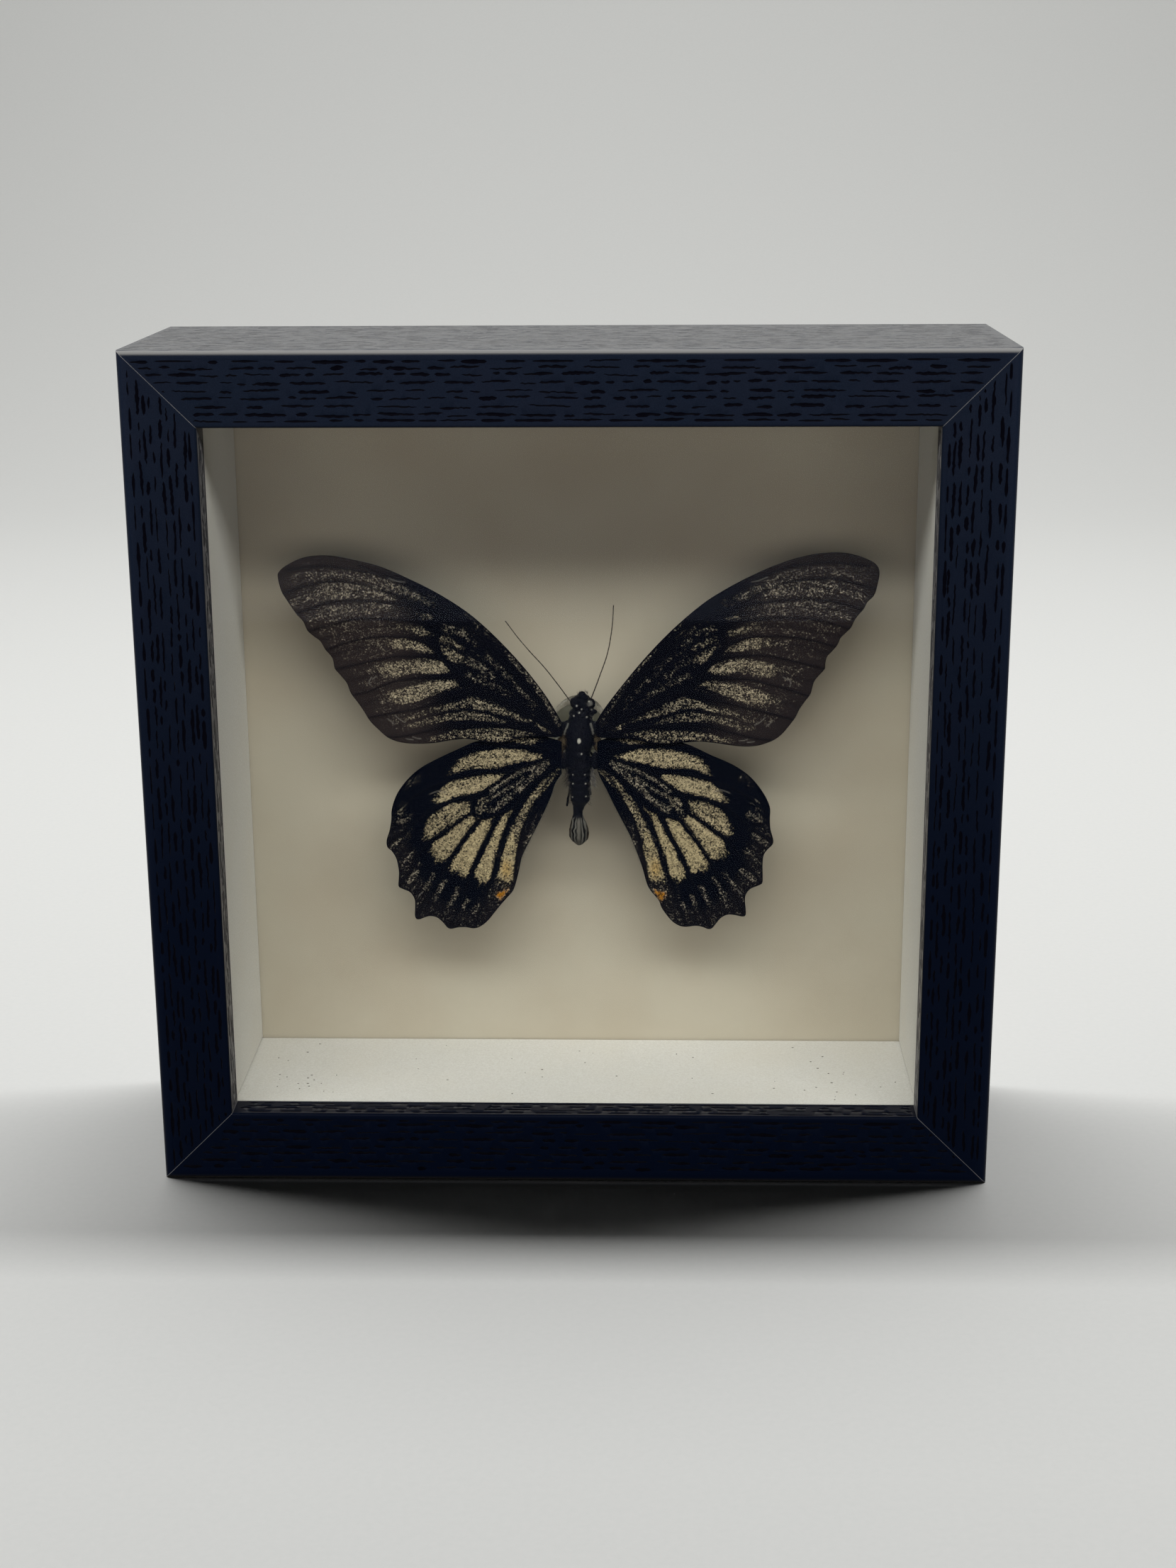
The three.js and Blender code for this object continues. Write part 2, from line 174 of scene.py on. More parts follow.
class Surface:
    # a node material, with short ways to add nodes and join them

    def __init__(self, name, **sockets):
        self.material = bpy.data.materials.new(name)
        self.material.use_nodes = True
        self.tree = self.material.node_tree
        self.shader = self.tree.nodes["Principled BSDF"]
        for socket, value in sockets.items():
            self.shader.inputs[socket.replace("_", " ")].default_value = value
        self.place = self.tree.nodes.new("ShaderNodeTexCoord").outputs["Object"]

    def put(self, socket, value):
        if isinstance(value, bpy.types.NodeSocket):
            self.tree.links.new(value, socket)
        else:
            socket.default_value = value

    def feed(self, socketName, value):
        self.put(self.shader.inputs[socketName], value)

    def stretched(self, x, y, z):
        # the piece's own coordinates, in steps of x, y and z mm
        node = self.tree.nodes.new("ShaderNodeMapping")
        node.inputs["Scale"].default_value = (1 / (x * mm), 1 / (y * mm), 1 / (z * mm))
        self.put(node.inputs["Vector"], self.place)
        return node.outputs["Vector"]

    def noise(self, size, detail=2.0, roughness=0.5, distortion=0.0):
        # size is a grain size in mm, or one for each axis
        sizes = size if isinstance(size, tuple) else (size,) * 3
        node = self.tree.nodes.new("ShaderNodeTexNoise")
        self.put(node.inputs["Vector"], self.stretched(*sizes))
        for socket, value in (("Scale", 1.0), ("Detail", detail), ("Roughness", roughness),
                              ("Distortion", distortion)):
            node.inputs[socket].default_value = value
        return node.outputs["Fac"]

    def cells(self, size):
        # three random values for each small cell
        sizes = size if isinstance(size, tuple) else (size,) * 3
        node = self.tree.nodes.new("ShaderNodeTexVoronoi")
        self.put(node.inputs["Vector"], self.stretched(*sizes))
        node.inputs["Scale"].default_value = 1.0
        split = self.tree.nodes.new("ShaderNodeSeparateColor")
        self.put(split.inputs["Color"], node.outputs["Color"])
        return [split.outputs[k] for k in range(3)]

    def field(self, name):
        node = self.tree.nodes.new("ShaderNodeAttribute")
        node.attribute_name = name
        return node.outputs["Fac"]

    def axis(self, k):
        # the place along one axis, in metres
        split = self.tree.nodes.new("ShaderNodeSeparateXYZ")
        self.put(split.inputs[0], self.place)
        return split.outputs[k]

    def upward(self):
        # 1 where the surface faces straight up, 0 where it stands upright
        normal = self.tree.nodes.new("ShaderNodeNewGeometry").outputs["Normal"]
        split = self.tree.nodes.new("ShaderNodeSeparateXYZ")
        self.put(split.inputs[0], normal)
        return split.outputs[2]

    def sum(self, operation, a, b):
        # one sum with two values, such as ADD or MULTIPLY
        node = self.tree.nodes.new("ShaderNodeMath")
        node.operation = operation
        self.put(node.inputs[0], a)
        self.put(node.inputs[1], b)
        return node.outputs[0]

    def spread(self, value, low, high, toLow=0.0, toHigh=1.0, smooth=False):
        node = self.tree.nodes.new("ShaderNodeMapRange")
        node.interpolation_type = "SMOOTHSTEP" if smooth else "LINEAR"
        for k, number in enumerate((value, low, high, toLow, toHigh)):
            self.put(node.inputs[k], number)
        return node.outputs[0]

    def blend(self, factor, a, b):
        # colour a where the factor is 0, colour b where it is 1
        node = self.tree.nodes.new("ShaderNodeMix")
        node.data_type = "RGBA"
        self.put(node.inputs[0], factor)
        self.put(node.inputs[6], a)
        self.put(node.inputs[7], b)
        return node.outputs[2]

    def bump(self, height, distance, strength=1.0):
        node = self.tree.nodes.new("ShaderNodeBump")
        node.inputs["Strength"].default_value = strength
        node.inputs["Distance"].default_value = distance * mm
        self.put(node.inputs["Height"], height)
        self.feed("Normal", node.outputs["Normal"])


# ---- camera

camera = {
    "place": (0.014385, -0.40714, 0.186241),
    "pitch": 0.2806,        # down, in radians
    "yaw": 0.0295,
    "roll": -0.0059,
    "lens": 52.9,
    "clip": (0.01, 20),
}


def addCamera():
    cosP, sinP = math.cos(camera["pitch"]), math.sin(camera["pitch"])
    cosY, sinY = math.cos(camera["yaw"]), math.sin(camera["yaw"])
    right = Vector((cosY, sinY, 0))
    ahead = Vector((-sinY, cosY, 0)) * cosP - Vector((0, 0, 1)) * sinP
    up = Vector((0, 0, 1)) * cosP + Vector((-sinY, cosY, 0)) * sinP
    cosR, sinR = math.cos(camera["roll"]), math.sin(camera["roll"])
    turned = right * cosR + up * sinR, up * cosR - right * sinR, -ahead
    data = bpy.data.cameras.new("camera")
    data.lens = camera["lens"]
    data.clip_start, data.clip_end = camera["clip"]
    rig = bpy.data.objects.new("camera", data)
    scene.collection.objects.link(rig)
    rig.matrix_world = Matrix.Translation(camera["place"]) @ Matrix(turned).transposed().to_4x4()
    scene.camera = rig


addCamera()
print("camera placed")


# ---- floor, backdrop and lights

studio = {
    "paper": tone(226, 226, 223),
    "pulp": tone(219, 220, 217),
    "world": (0.93, 0.97, 1.0),
    "worldStrength": 0.012,
    "worldSeen": 0.5,
    # place, size in X and Y, watts, the point aimed at and the colour
    "overhead": ((0.0, 0.147, 1.0), (1.3, 0.1), 9.6, (0, 0.108, 0), (1, 1, 1)),
    "rear": ((0.0, 0.36, 1.0), (1.2, 0.3), 2.6, (0, 0.36, 0), (1, 1, 1)),
    "wall": ((0.0, 0.75, 1.0), (1.6, 0.4), 3.3, (0, 1.25, 0.1), (1, 1, 1)),
    "case": ((-0.03, -0.36, 0.49), (1.25, 0.14), 5.1, (0, 0, 0.075), (1.0, 0.975, 0.935)),
    "fill": ((0.0, -0.5, 0.07), (0.7, 0.3), 0.95, (0, 0, 0.075), (1.0, 0.91, 0.84)),
}


def addStage():
    # one sheet of paper that lies flat and curves up behind the part
    halfWidth, front, wall, radius, height = 1.8, -1.6, 1.4, 0.7, 0.75
    bendSteps = 24
    profile = [(front, 0.0), (wall - radius, 0.0)]
    for k in range(1, bendSteps + 1):
        turn = k / bendSteps * math.pi / 2
        profile.append((wall - radius + radius * math.sin(turn), radius - radius * math.cos(turn)))
    profile.append((wall, height))
    vertices = [(side * halfWidth, y, z) for y, z in profile for side in (-1, 1)]
    faces = [(2 * k, 2 * k + 1, 2 * k + 3, 2 * k + 2) for k in range(len(profile) - 1)]
    mesh = bpy.data.meshes.new("floor_sweep")
    mesh.from_pydata(vertices, [], faces)
    mesh.shade_smooth()
    paper = Surface("backdrop_paper", Roughness=0.75, Specular_IOR_Level=0.25)
    pulp = paper.noise(1.2, 4, 0.6)
    paper.feed("Base Color", paper.blend(pulp, studio["paper"], studio["pulp"]))
    mesh.materials.append(paper.material)
    floor = bpy.data.objects.new("floor_sweep", mesh)
    scene.collection.objects.link(floor)


def addFlag():
    # a black card close before the case that stops only bounced light between it and the floor
    y, half, bottom, top = -0.0239, 0.0735, 0.0005, 0.149
    mesh = bpy.data.meshes.new("black_flag")
    mesh.from_pydata([(-half, y, bottom), (half, y, bottom), (half, y, top), (-half, y, top)], [],
                     [(0, 1, 2, 3)])
    card = Surface("black_card", Roughness=1.0, Specular_IOR_Level=0.0)
    card.feed("Base Color", card.blend(card.noise(2.0), tone(2, 2, 2), tone(8, 8, 8)))
    mesh.materials.append(card.material)
    flag = bpy.data.objects.new("black_flag", mesh)
    scene.collection.objects.link(flag)
    flag.visible_camera = flag.visible_glossy = flag.visible_transmission = flag.visible_shadow = False


def addSoftbox(name):
    place, size, power, target, color = studio[name]
    data = bpy.data.lights.new(name, "AREA")
    data.shape = "RECTANGLE"
    data.size, data.size_y = size
    data.energy = power
    data.color = color
    box = bpy.data.objects.new(name, data)
    scene.collection.objects.link(box)
    box.location = place
    box.rotation_euler = (Vector(target) - Vector(place)).to_track_quat("-Z", "Y").to_euler()
    return box


def addLights():
    world = bpy.data.worlds.new("studio")
    scene.world = world
    world.use_nodes = True
    sky = world.node_tree.nodes["Background"]
    sky.inputs["Color"].default_value = (*studio["world"], 1)
    path = world.node_tree.nodes.new("ShaderNodeLightPath")        # seen bright, but lights little
    strength = world.node_tree.nodes.new("ShaderNodeMapRange")
    strength.inputs["To Min"].default_value = studio["worldStrength"]
    strength.inputs["To Max"].default_value = studio["worldSeen"]
    world.node_tree.links.new(path.outputs["Is Camera Ray"], strength.inputs["Value"])
    world.node_tree.links.new(strength.outputs["Result"], sky.inputs["Strength"])
    for name in ("overhead", "rear", "wall"):
        addSoftbox(name)
    onlyCase = bpy.data.collections.new("lit_by_case_light")
    for name in ("case", "fill"):
        addSoftbox(name).light_linking.receiver_collection = onlyCase
    scene.view_settings.view_transform = "Standard"
    return onlyCase


addStage()
addFlag()
litPieces = addLights()
print("stage and lights set")


# ---- frame rails, wrapped in embossed foil

rail = {
    "side": 150,
    "depth": 46,
    "face": 12.9,
    "wall": 8,
    "lip": 5.7,
    "outerRound": 1.0,
    "innerRound": 0.5,
    "roundSteps": 6,
    "mitreGap": 0.04,       # the seam where two rails meet
    "seamWidth": 0.15,
    "sharpAngle": 28,
    "seed": 40,
    "weld": 1e-5,
    # dashes: sizes in mm, with the low and high end of what varies
    "rowStart": (0.1, 0.4),
    "rowPitch": (1.0, 1.65),
    "rowDensity": (0.5, 1.4),       # times the space between dashes
    "firstDash": (0, 2.5),
    "dashLength": (1.4, 7.5),
    "dashSpace": (0.25, 2.6),
    "dashHalf": (0.17, 0.41),
    "dashSwell": (0.35, 1.25),
    "dashLean": 0.04,       # as a share of its length
    "dashOffset": 0.22,
    "dashWaver": 0.09,
    "dashBlunt": 0.3,
    "dashStep": 0.5,        # length of one piece of its outline
    "dashLeast": 0.5,
    "rowEnd": 1.0,
    "dashEnd": 0.55,        # clear space between a dash and the mitre
    "grooveDepth": 0.1,
    "grooveTurn": 0.5,      # how far before the outer side the grooves turn to it
    # clear space before and after the dashes on the lip, the face and the outer side
    "bandSpace": ((0.2, 0.1), (0.15, 0.35), (0.25, 0.3)),
    "bandEdge": 0.25,
    "ground": tone(12, 20, 34),
    "cloud": tone(15, 21, 35),
    "grit": tone(31, 40, 57),
    # painted shade for the lower part of the frame
    "shade": tone(0, 5, 22),
    "groove": tone(0, 0, 6),
    "seam": tone(118, 120, 124),
    # dust and painted sheen on the frame's top face
    "dust": tone(140, 140, 138),
}


def railProfile():
    # from the lip's back edge over the front face to the back of the outer side, [inward, back]
    face, lip = rail["face"], rail["lip"]
    outer, inner, steps = rail["outerRound"], rail["innerRound"], rail["roundSteps"]
    points = [(face, lip)]
    for k in range(steps + 1):
        turn = k / steps * math.pi / 2
        points.append((face - inner + inner * math.cos(turn), inner - inner * math.sin(turn)))
    for k in range(steps + 1):
        turn = k / steps * math.pi / 2
        points.append((outer - outer * math.sin(turn), outer - outer * math.cos(turn)))
    points.append((0, rail["depth"]))
    return np.array(points)


def grainDashes(rng, low, high, halfLength):
    # outlines and middle lines of short wavy dashes in rows along a rail
    dashes = []
    row = low + rng.uniform(*rail["rowStart"])
    while row < high:
        reach = halfLength(row)
        at = -reach + rail["dashEnd"] + rng.uniform(*rail["firstDash"])
        density = rng.uniform(*rail["rowDensity"])
        while at < reach - rail["rowEnd"]:
            length = min(rng.uniform(*rail["dashLength"]), reach - rail["dashEnd"] - at)
            if length > rail["dashLeast"]:
                half = rng.uniform(*rail["dashHalf"])
                count = max(3, int(length / rail["dashStep"]))
                s = np.linspace(0, 1, count + 2)
                lean = rng.uniform(-rail["dashLean"], rail["dashLean"]) * length
                offset = rng.uniform(-rail["dashOffset"], rail["dashOffset"])
                waver = rng.uniform(-rail["dashWaver"], rail["dashWaver"], count + 2)
                middle = row + offset + lean * (s - 0.5) + waver
                middle = np.clip(middle, low + half, high - half)
                knots = rng.uniform(*rail["dashSwell"], count + 4)
                knots = (knots[:-2] + 2 * knots[1:-1] + knots[2:]) / 4
                swell = half * np.clip(4 * s * (1 - s), 0, 1) ** rail["dashBlunt"] * knots
                along = at + s * length
                upper = np.stack([along, middle + swell], -1)[1:-1]
                lower = np.stack([along, middle - swell], -1)[1:-1][::-1]
                ends = np.stack([along, middle], -1)[[0, -1]]
                outline = np.vstack([ends[:1], upper, ends[1:], lower])
                dashes.append((outline, np.stack([along, middle], -1)[1:-1]))
            at += length + rng.uniform(*rail["dashSpace"]) * density
        row += rng.uniform(*rail["rowPitch"])
    return dashes


def railMesh(turn, rng):
    # vertices and faces of one rail, and what each vertex carries for the grooves and the seam
    profile = railProfile()
    run = np.concatenate([[0], np.cumsum(np.hypot(*np.diff(profile, axis=0).T))])
    inwardAt = lambda u: np.interp(u, run, profile[:, 0])
    backAt = lambda u: np.interp(u, run, profile[:, 1])
    mitreReach = lambda inward: rail["side"] / 2 - inward - rail["mitreGap"] / 2 * math.sqrt(2)
    halfLength = lambda u: mitreReach(inwardAt(u))

    flat = [Vector((-halfLength(u), u)) for u in run] + [Vector((halfLength(u), u)) for u in run]
    count = len(run)
    edges = [(k, k + 1) for k in range(count - 1)] + [(count + k, count + k + 1) for k in range(count - 1)]
    edges += [(k, count + k) for k in range(count)]
    corners = 2 * count
    for side in (-1, 1):
        start = len(flat)
        flat += [Vector((side * (halfLength(u) - rail["seamWidth"]), u)) for u in run]
        edges += [(start + k, start + k + 1) for k in range(count - 1)]
    steps = rail["roundSteps"]
    bands = [(run[0], run[1]), (run[1 + steps], run[2 + steps]), (run[-2], run[-1])]
    groove = [0.0] * len(flat)
    for (low, high), (before, after) in zip(bands, rail["bandSpace"]):
        low = low + before + rail["bandEdge"]
        high = high - after - rail["bandEdge"]
        for outline, middle in grainDashes(rng, low, high, halfLength):
            start = len(flat)
            flat += [Vector(p) for p in outline]
            edges += [(start + k, start + (k + 1) % len(outline)) for k in range(len(outline))]
            groove += [0.0] * len(outline)
            flat += [Vector(p) for p in middle]
            groove += [1.0] * len(middle)
    made, _, faces, origin, _, _ = delaunay_2d_cdt(flat, edges, [], 1, rail["weld"], True)
    made = np.array([tuple(p) for p in made])
    depthShare = np.array([max([groove[k] for k in ids], default=0.0) for ids in origin])

    inward, back = inwardAt(made[:, 1]), backAt(made[:, 1])
    push = depthShare * rail["grooveDepth"]
    # into the foil: towards the rail's core
    onFace = (made[:, 1] > run[steps]) & (made[:, 1] < run[-2] - rail["grooveTurn"])
    onLip = made[:, 1] <= run[1]
    inward = inward + np.where(onFace, 0, np.where(onLip, -push, push))
    back = back + np.where(onFace, push, 0)
    vertices = np.stack([made[:, 0], inward, back], -1)        # along, inward, back
    faces = [tuple(face) for face in faces]

    # the rebate behind the lip and the cut ends close the rail
    index = {source: k for k, ids in enumerate(origin) for source in ids if source < corners}
    extra = [(rail["wall"], rail["depth"]), (rail["wall"], rail["lip"])]
    starts = []
    for side in (-1, 1):
        for x, y in extra:
            starts.append(len(vertices))
            vertices = np.vstack([vertices, [side * mitreReach(x), x, y]])
    leftRing = [index[k] for k in range(count)] + starts[:2]
    rightRing = [index[count + k] for k in range(count)] + starts[2:]
    faces.append(tuple(leftRing))
    faces.append(tuple(rightRing[::-1]))
    for k in range(count - 1, count + 2):
        a, b = k, (k + 1) % (count + 2)
        faces.append((leftRing[a], rightRing[a], rightRing[b], leftRing[b]))
    depthShare = np.concatenate([depthShare, np.zeros(4)])

    # stand the rail under the middle of the frame, then turn it to its side
    half = rail["side"] / 2
    local = np.stack([vertices[:, 0], vertices[:, 2], vertices[:, 1] - half], -1)
    cosT, sinT = round(math.cos(turn)), round(math.sin(turn))
    world = np.stack([local[:, 0] * cosT + local[:, 2] * sinT, local[:, 1],
                      -local[:, 0] * sinT + local[:, 2] * cosT + half], -1)
    seam = np.zeros(len(world))
    seam[leftRing[:count - 1] + rightRing[:count - 1]] = 1.0
    return world, faces, depthShare, seam


def foilMaterial():
    foil = Surface("rail_foil_wrap", Roughness=0.36, Specular_IOR_Level=0.025,
                   Sheen_Weight=0.2, Sheen_Roughness=0.35)
    cloud = foil.noise(9.0, 3, 0.6)
    grit = foil.noise(0.16, 2, 0.7)
    ground = foil.blend(foil.spread(cloud, 0.35, 0.65), rail["ground"], rail["cloud"])
    ground = foil.blend(foil.spread(grit, 0.3, 0.75, 0.0, 0.4), ground, rail["grit"])
    # painted shade: the foil darker towards the foot of the frame, where the lower rails get less light
    low = foil.spread(foil.axis(2), 0.05, 0.14, 0.85, 0.0)
    ground = foil.blend(low, ground, rail["shade"])
    groove = foil.spread(foil.field("groove"), 0.01, 0.16, smooth=True)
    color = foil.blend(groove, ground, rail["groove"])
    seam = foil.spread(foil.field("seam"), 0.55, 0.95)
    color = foil.blend(seam, color, rail["seam"])
    # dust in grey streaks where the foil faces up, which also paints the glare of the top face as a painted
    # sheen
    streaks = foil.noise((4.5, 0.3, 0.5), 4, 0.7)
    up = foil.upward()
    streakedDustAndSheen = foil.spread(streaks, 0.42, 0.6, 0.14, 0.48)
    dust = foil.sum("MULTIPLY", foil.spread(up, 0.1, 0.6), streakedDustAndSheen)
    # painted highlight: a light band on the rounded top edge, mixed in at half strength
    edge = foil.sum("MULTIPLY", foil.spread(up, 0.05, 0.5), foil.spread(up, 0.97, 0.85))
    dust = foil.sum("MAXIMUM", dust, foil.sum("MULTIPLY", edge, 0.5))
    dust = foil.sum("MULTIPLY", dust, foil.spread(foil.axis(2), 0.149, 0.1493))
    color = foil.blend(dust, color, rail["dust"])
    foil.feed("Base Color", color)
    foil.feed("Roughness", foil.sum("ADD", foil.spread(grit, 0.2, 0.8, 0.26, 0.4),
                                    foil.sum("MULTIPLY", groove, 0.25)))
    foil.bump(grit, 0.02, 0.5)
    return foil.material


def addRails():
    material = foilMaterial()
    for k, side in enumerate(("bottom", "left", "top", "right")):
        rng = np.random.default_rng(rail["seed"] + k)
        vertices, faces, groove, seam = railMesh(k * math.pi / 2, rng)
        piece = addPiece(f"foil_rail_{side}", vertices, faces, material,
                         [f"rail_{side}"], {"groove": groove, "seam": seam}, rail["sharpAngle"])
        fixNormals(piece)


addRails()
print("rails wrapped")


# ---- glass, liners, boards, post and steel keep their solids and get their finishes

boards = {
    "liner": tone(224, 224, 221),
    "linerFleck": tone(208, 207, 202),
    "linerStain": tone(216, 213, 203),
    "backing": tone(190, 184, 168),
    "backingCloud": tone(184, 176, 159),
    "backingPulp": tone(170, 164, 147),
    "hardboard": tone(104, 72, 46),
    "hardboardFibre": tone(66, 43, 27),
    "steel": tone(176, 180, 184),
    "steelScratch": tone(140, 143, 148),
    "glass": tone(250, 252, 250),
    "glassHaze": tone(246, 250, 248),
    "post": tone(244, 246, 243),
    "postFlow": tone(236, 240, 238),
}


def finishNodes(material, *names):
    for name in names:
        node = frame["nodes"][name]
        node.data.materials.clear()
        node.data.materials.append(material)


def glassMaterial():
    glass = Surface("pane_glass", Roughness=0.0, IOR=1.5, Transmission_Weight=1.0,
                    Specular_Tint=(0.05, 0.06, 0.08, 1))        # picture glass with little glare
    haze = glass.noise((14.0, 14.0, 9.0), 3, 0.6)
    glass.feed("Base Color", glass.blend(haze, boards["glass"], boards["glassHaze"]))
    return glass.material


def linerMaterial():
    liner = Surface("liner_card", Roughness=0.7, Specular_IOR_Level=0.3)
    pulp = liner.noise(0.35, 4, 0.65)
    stain = liner.noise(16.0, 3, 0.5)
    color = liner.blend(liner.spread(pulp, 0.35, 0.7), boards["liner"], boards["linerFleck"])
    color = liner.blend(liner.spread(stain, 0.45, 0.75, 0, 0.35), color, boards["linerStain"])
    liner.feed("Base Color", color)
    liner.bump(pulp, 0.03, 0.4)
    return liner.material


def backingMaterial():
    paper = Surface("backing_paper_cream", Roughness=0.8, Specular_IOR_Level=0.25)
    pulp = paper.noise(0.25, 4, 0.7)
    cloud = paper.noise(22.0, 3, 0.5)
    color = paper.blend(paper.spread(cloud, 0.35, 0.65), boards["backing"], boards["backingCloud"])
    color = paper.blend(paper.spread(pulp, 0.4, 0.75, 0, 0.2), color, boards["backingPulp"])
    paper.feed("Base Color", color)
    paper.bump(pulp, 0.03, 0.2)
    return paper.material


def hardboardMaterial():
    board = Surface("hardboard_back", Roughness=0.7, Specular_IOR_Level=0.3)
    fibre = board.noise((1.8, 1.0, 0.22), 5, 0.75, 1.5)
    cross = board.noise((0.3, 1.0, 1.6), 4, 0.7, 1.0)
    mix = board.sum("MULTIPLY", board.sum("ADD", fibre, cross), 0.5)
    board.feed("Base Color", board.blend(board.spread(mix, 0.36, 0.62), boards["hardboardFibre"],
                                         boards["hardboard"]))
    board.bump(mix, 0.12, 0.7)
    return board.material


def steelMaterial():
    steel = Surface("zinc_steel_plate", Metallic=1.0, Roughness=0.35)
    brushed = steel.noise((0.12, 0.12, 2.5), 3, 0.6)
    steel.feed("Base Color", steel.blend(brushed, boards["steel"], boards["steelScratch"]))
    steel.feed("Roughness", steel.spread(brushed, 0.3, 0.7, 0.28, 0.5))
    steel.bump(brushed, 0.01, 0.4)
    return steel.material


def postMaterial():
    post = Surface("clear_post_acrylic", Roughness=0.04, IOR=1.49, Transmission_Weight=1.0)
    flow = post.noise((3.0, 3.0, 1.2), 3, 0.5)
    post.feed("Base Color", post.blend(flow, boards["post"], boards["postFlow"]))
    return post.material


finishNodes(glassMaterial(), "glass_pane")
pane = frame["nodes"]["glass_pane"]
pane.visible_shadow = pane.visible_diffuse = False        # light passes the pane
finishNodes(linerMaterial(), "liner_top", "liner_bottom", "liner_left", "liner_right")
finishNodes(backingMaterial(), "backing_board")
finishNodes(hardboardMaterial(), "back_panel")
finishNodes(steelMaterial(), "hanger", "hanger_nail_1", "hanger_nail_2",
            *[f"panel_tab_{k}" for k in range(1, 9)])
finishNodes(postMaterial(), "mount_post")
print("boards, glass and steel finished")


# ---- wings
# Outlines, veins, folds and scale patches are [x, z] in mm, seen from the front.

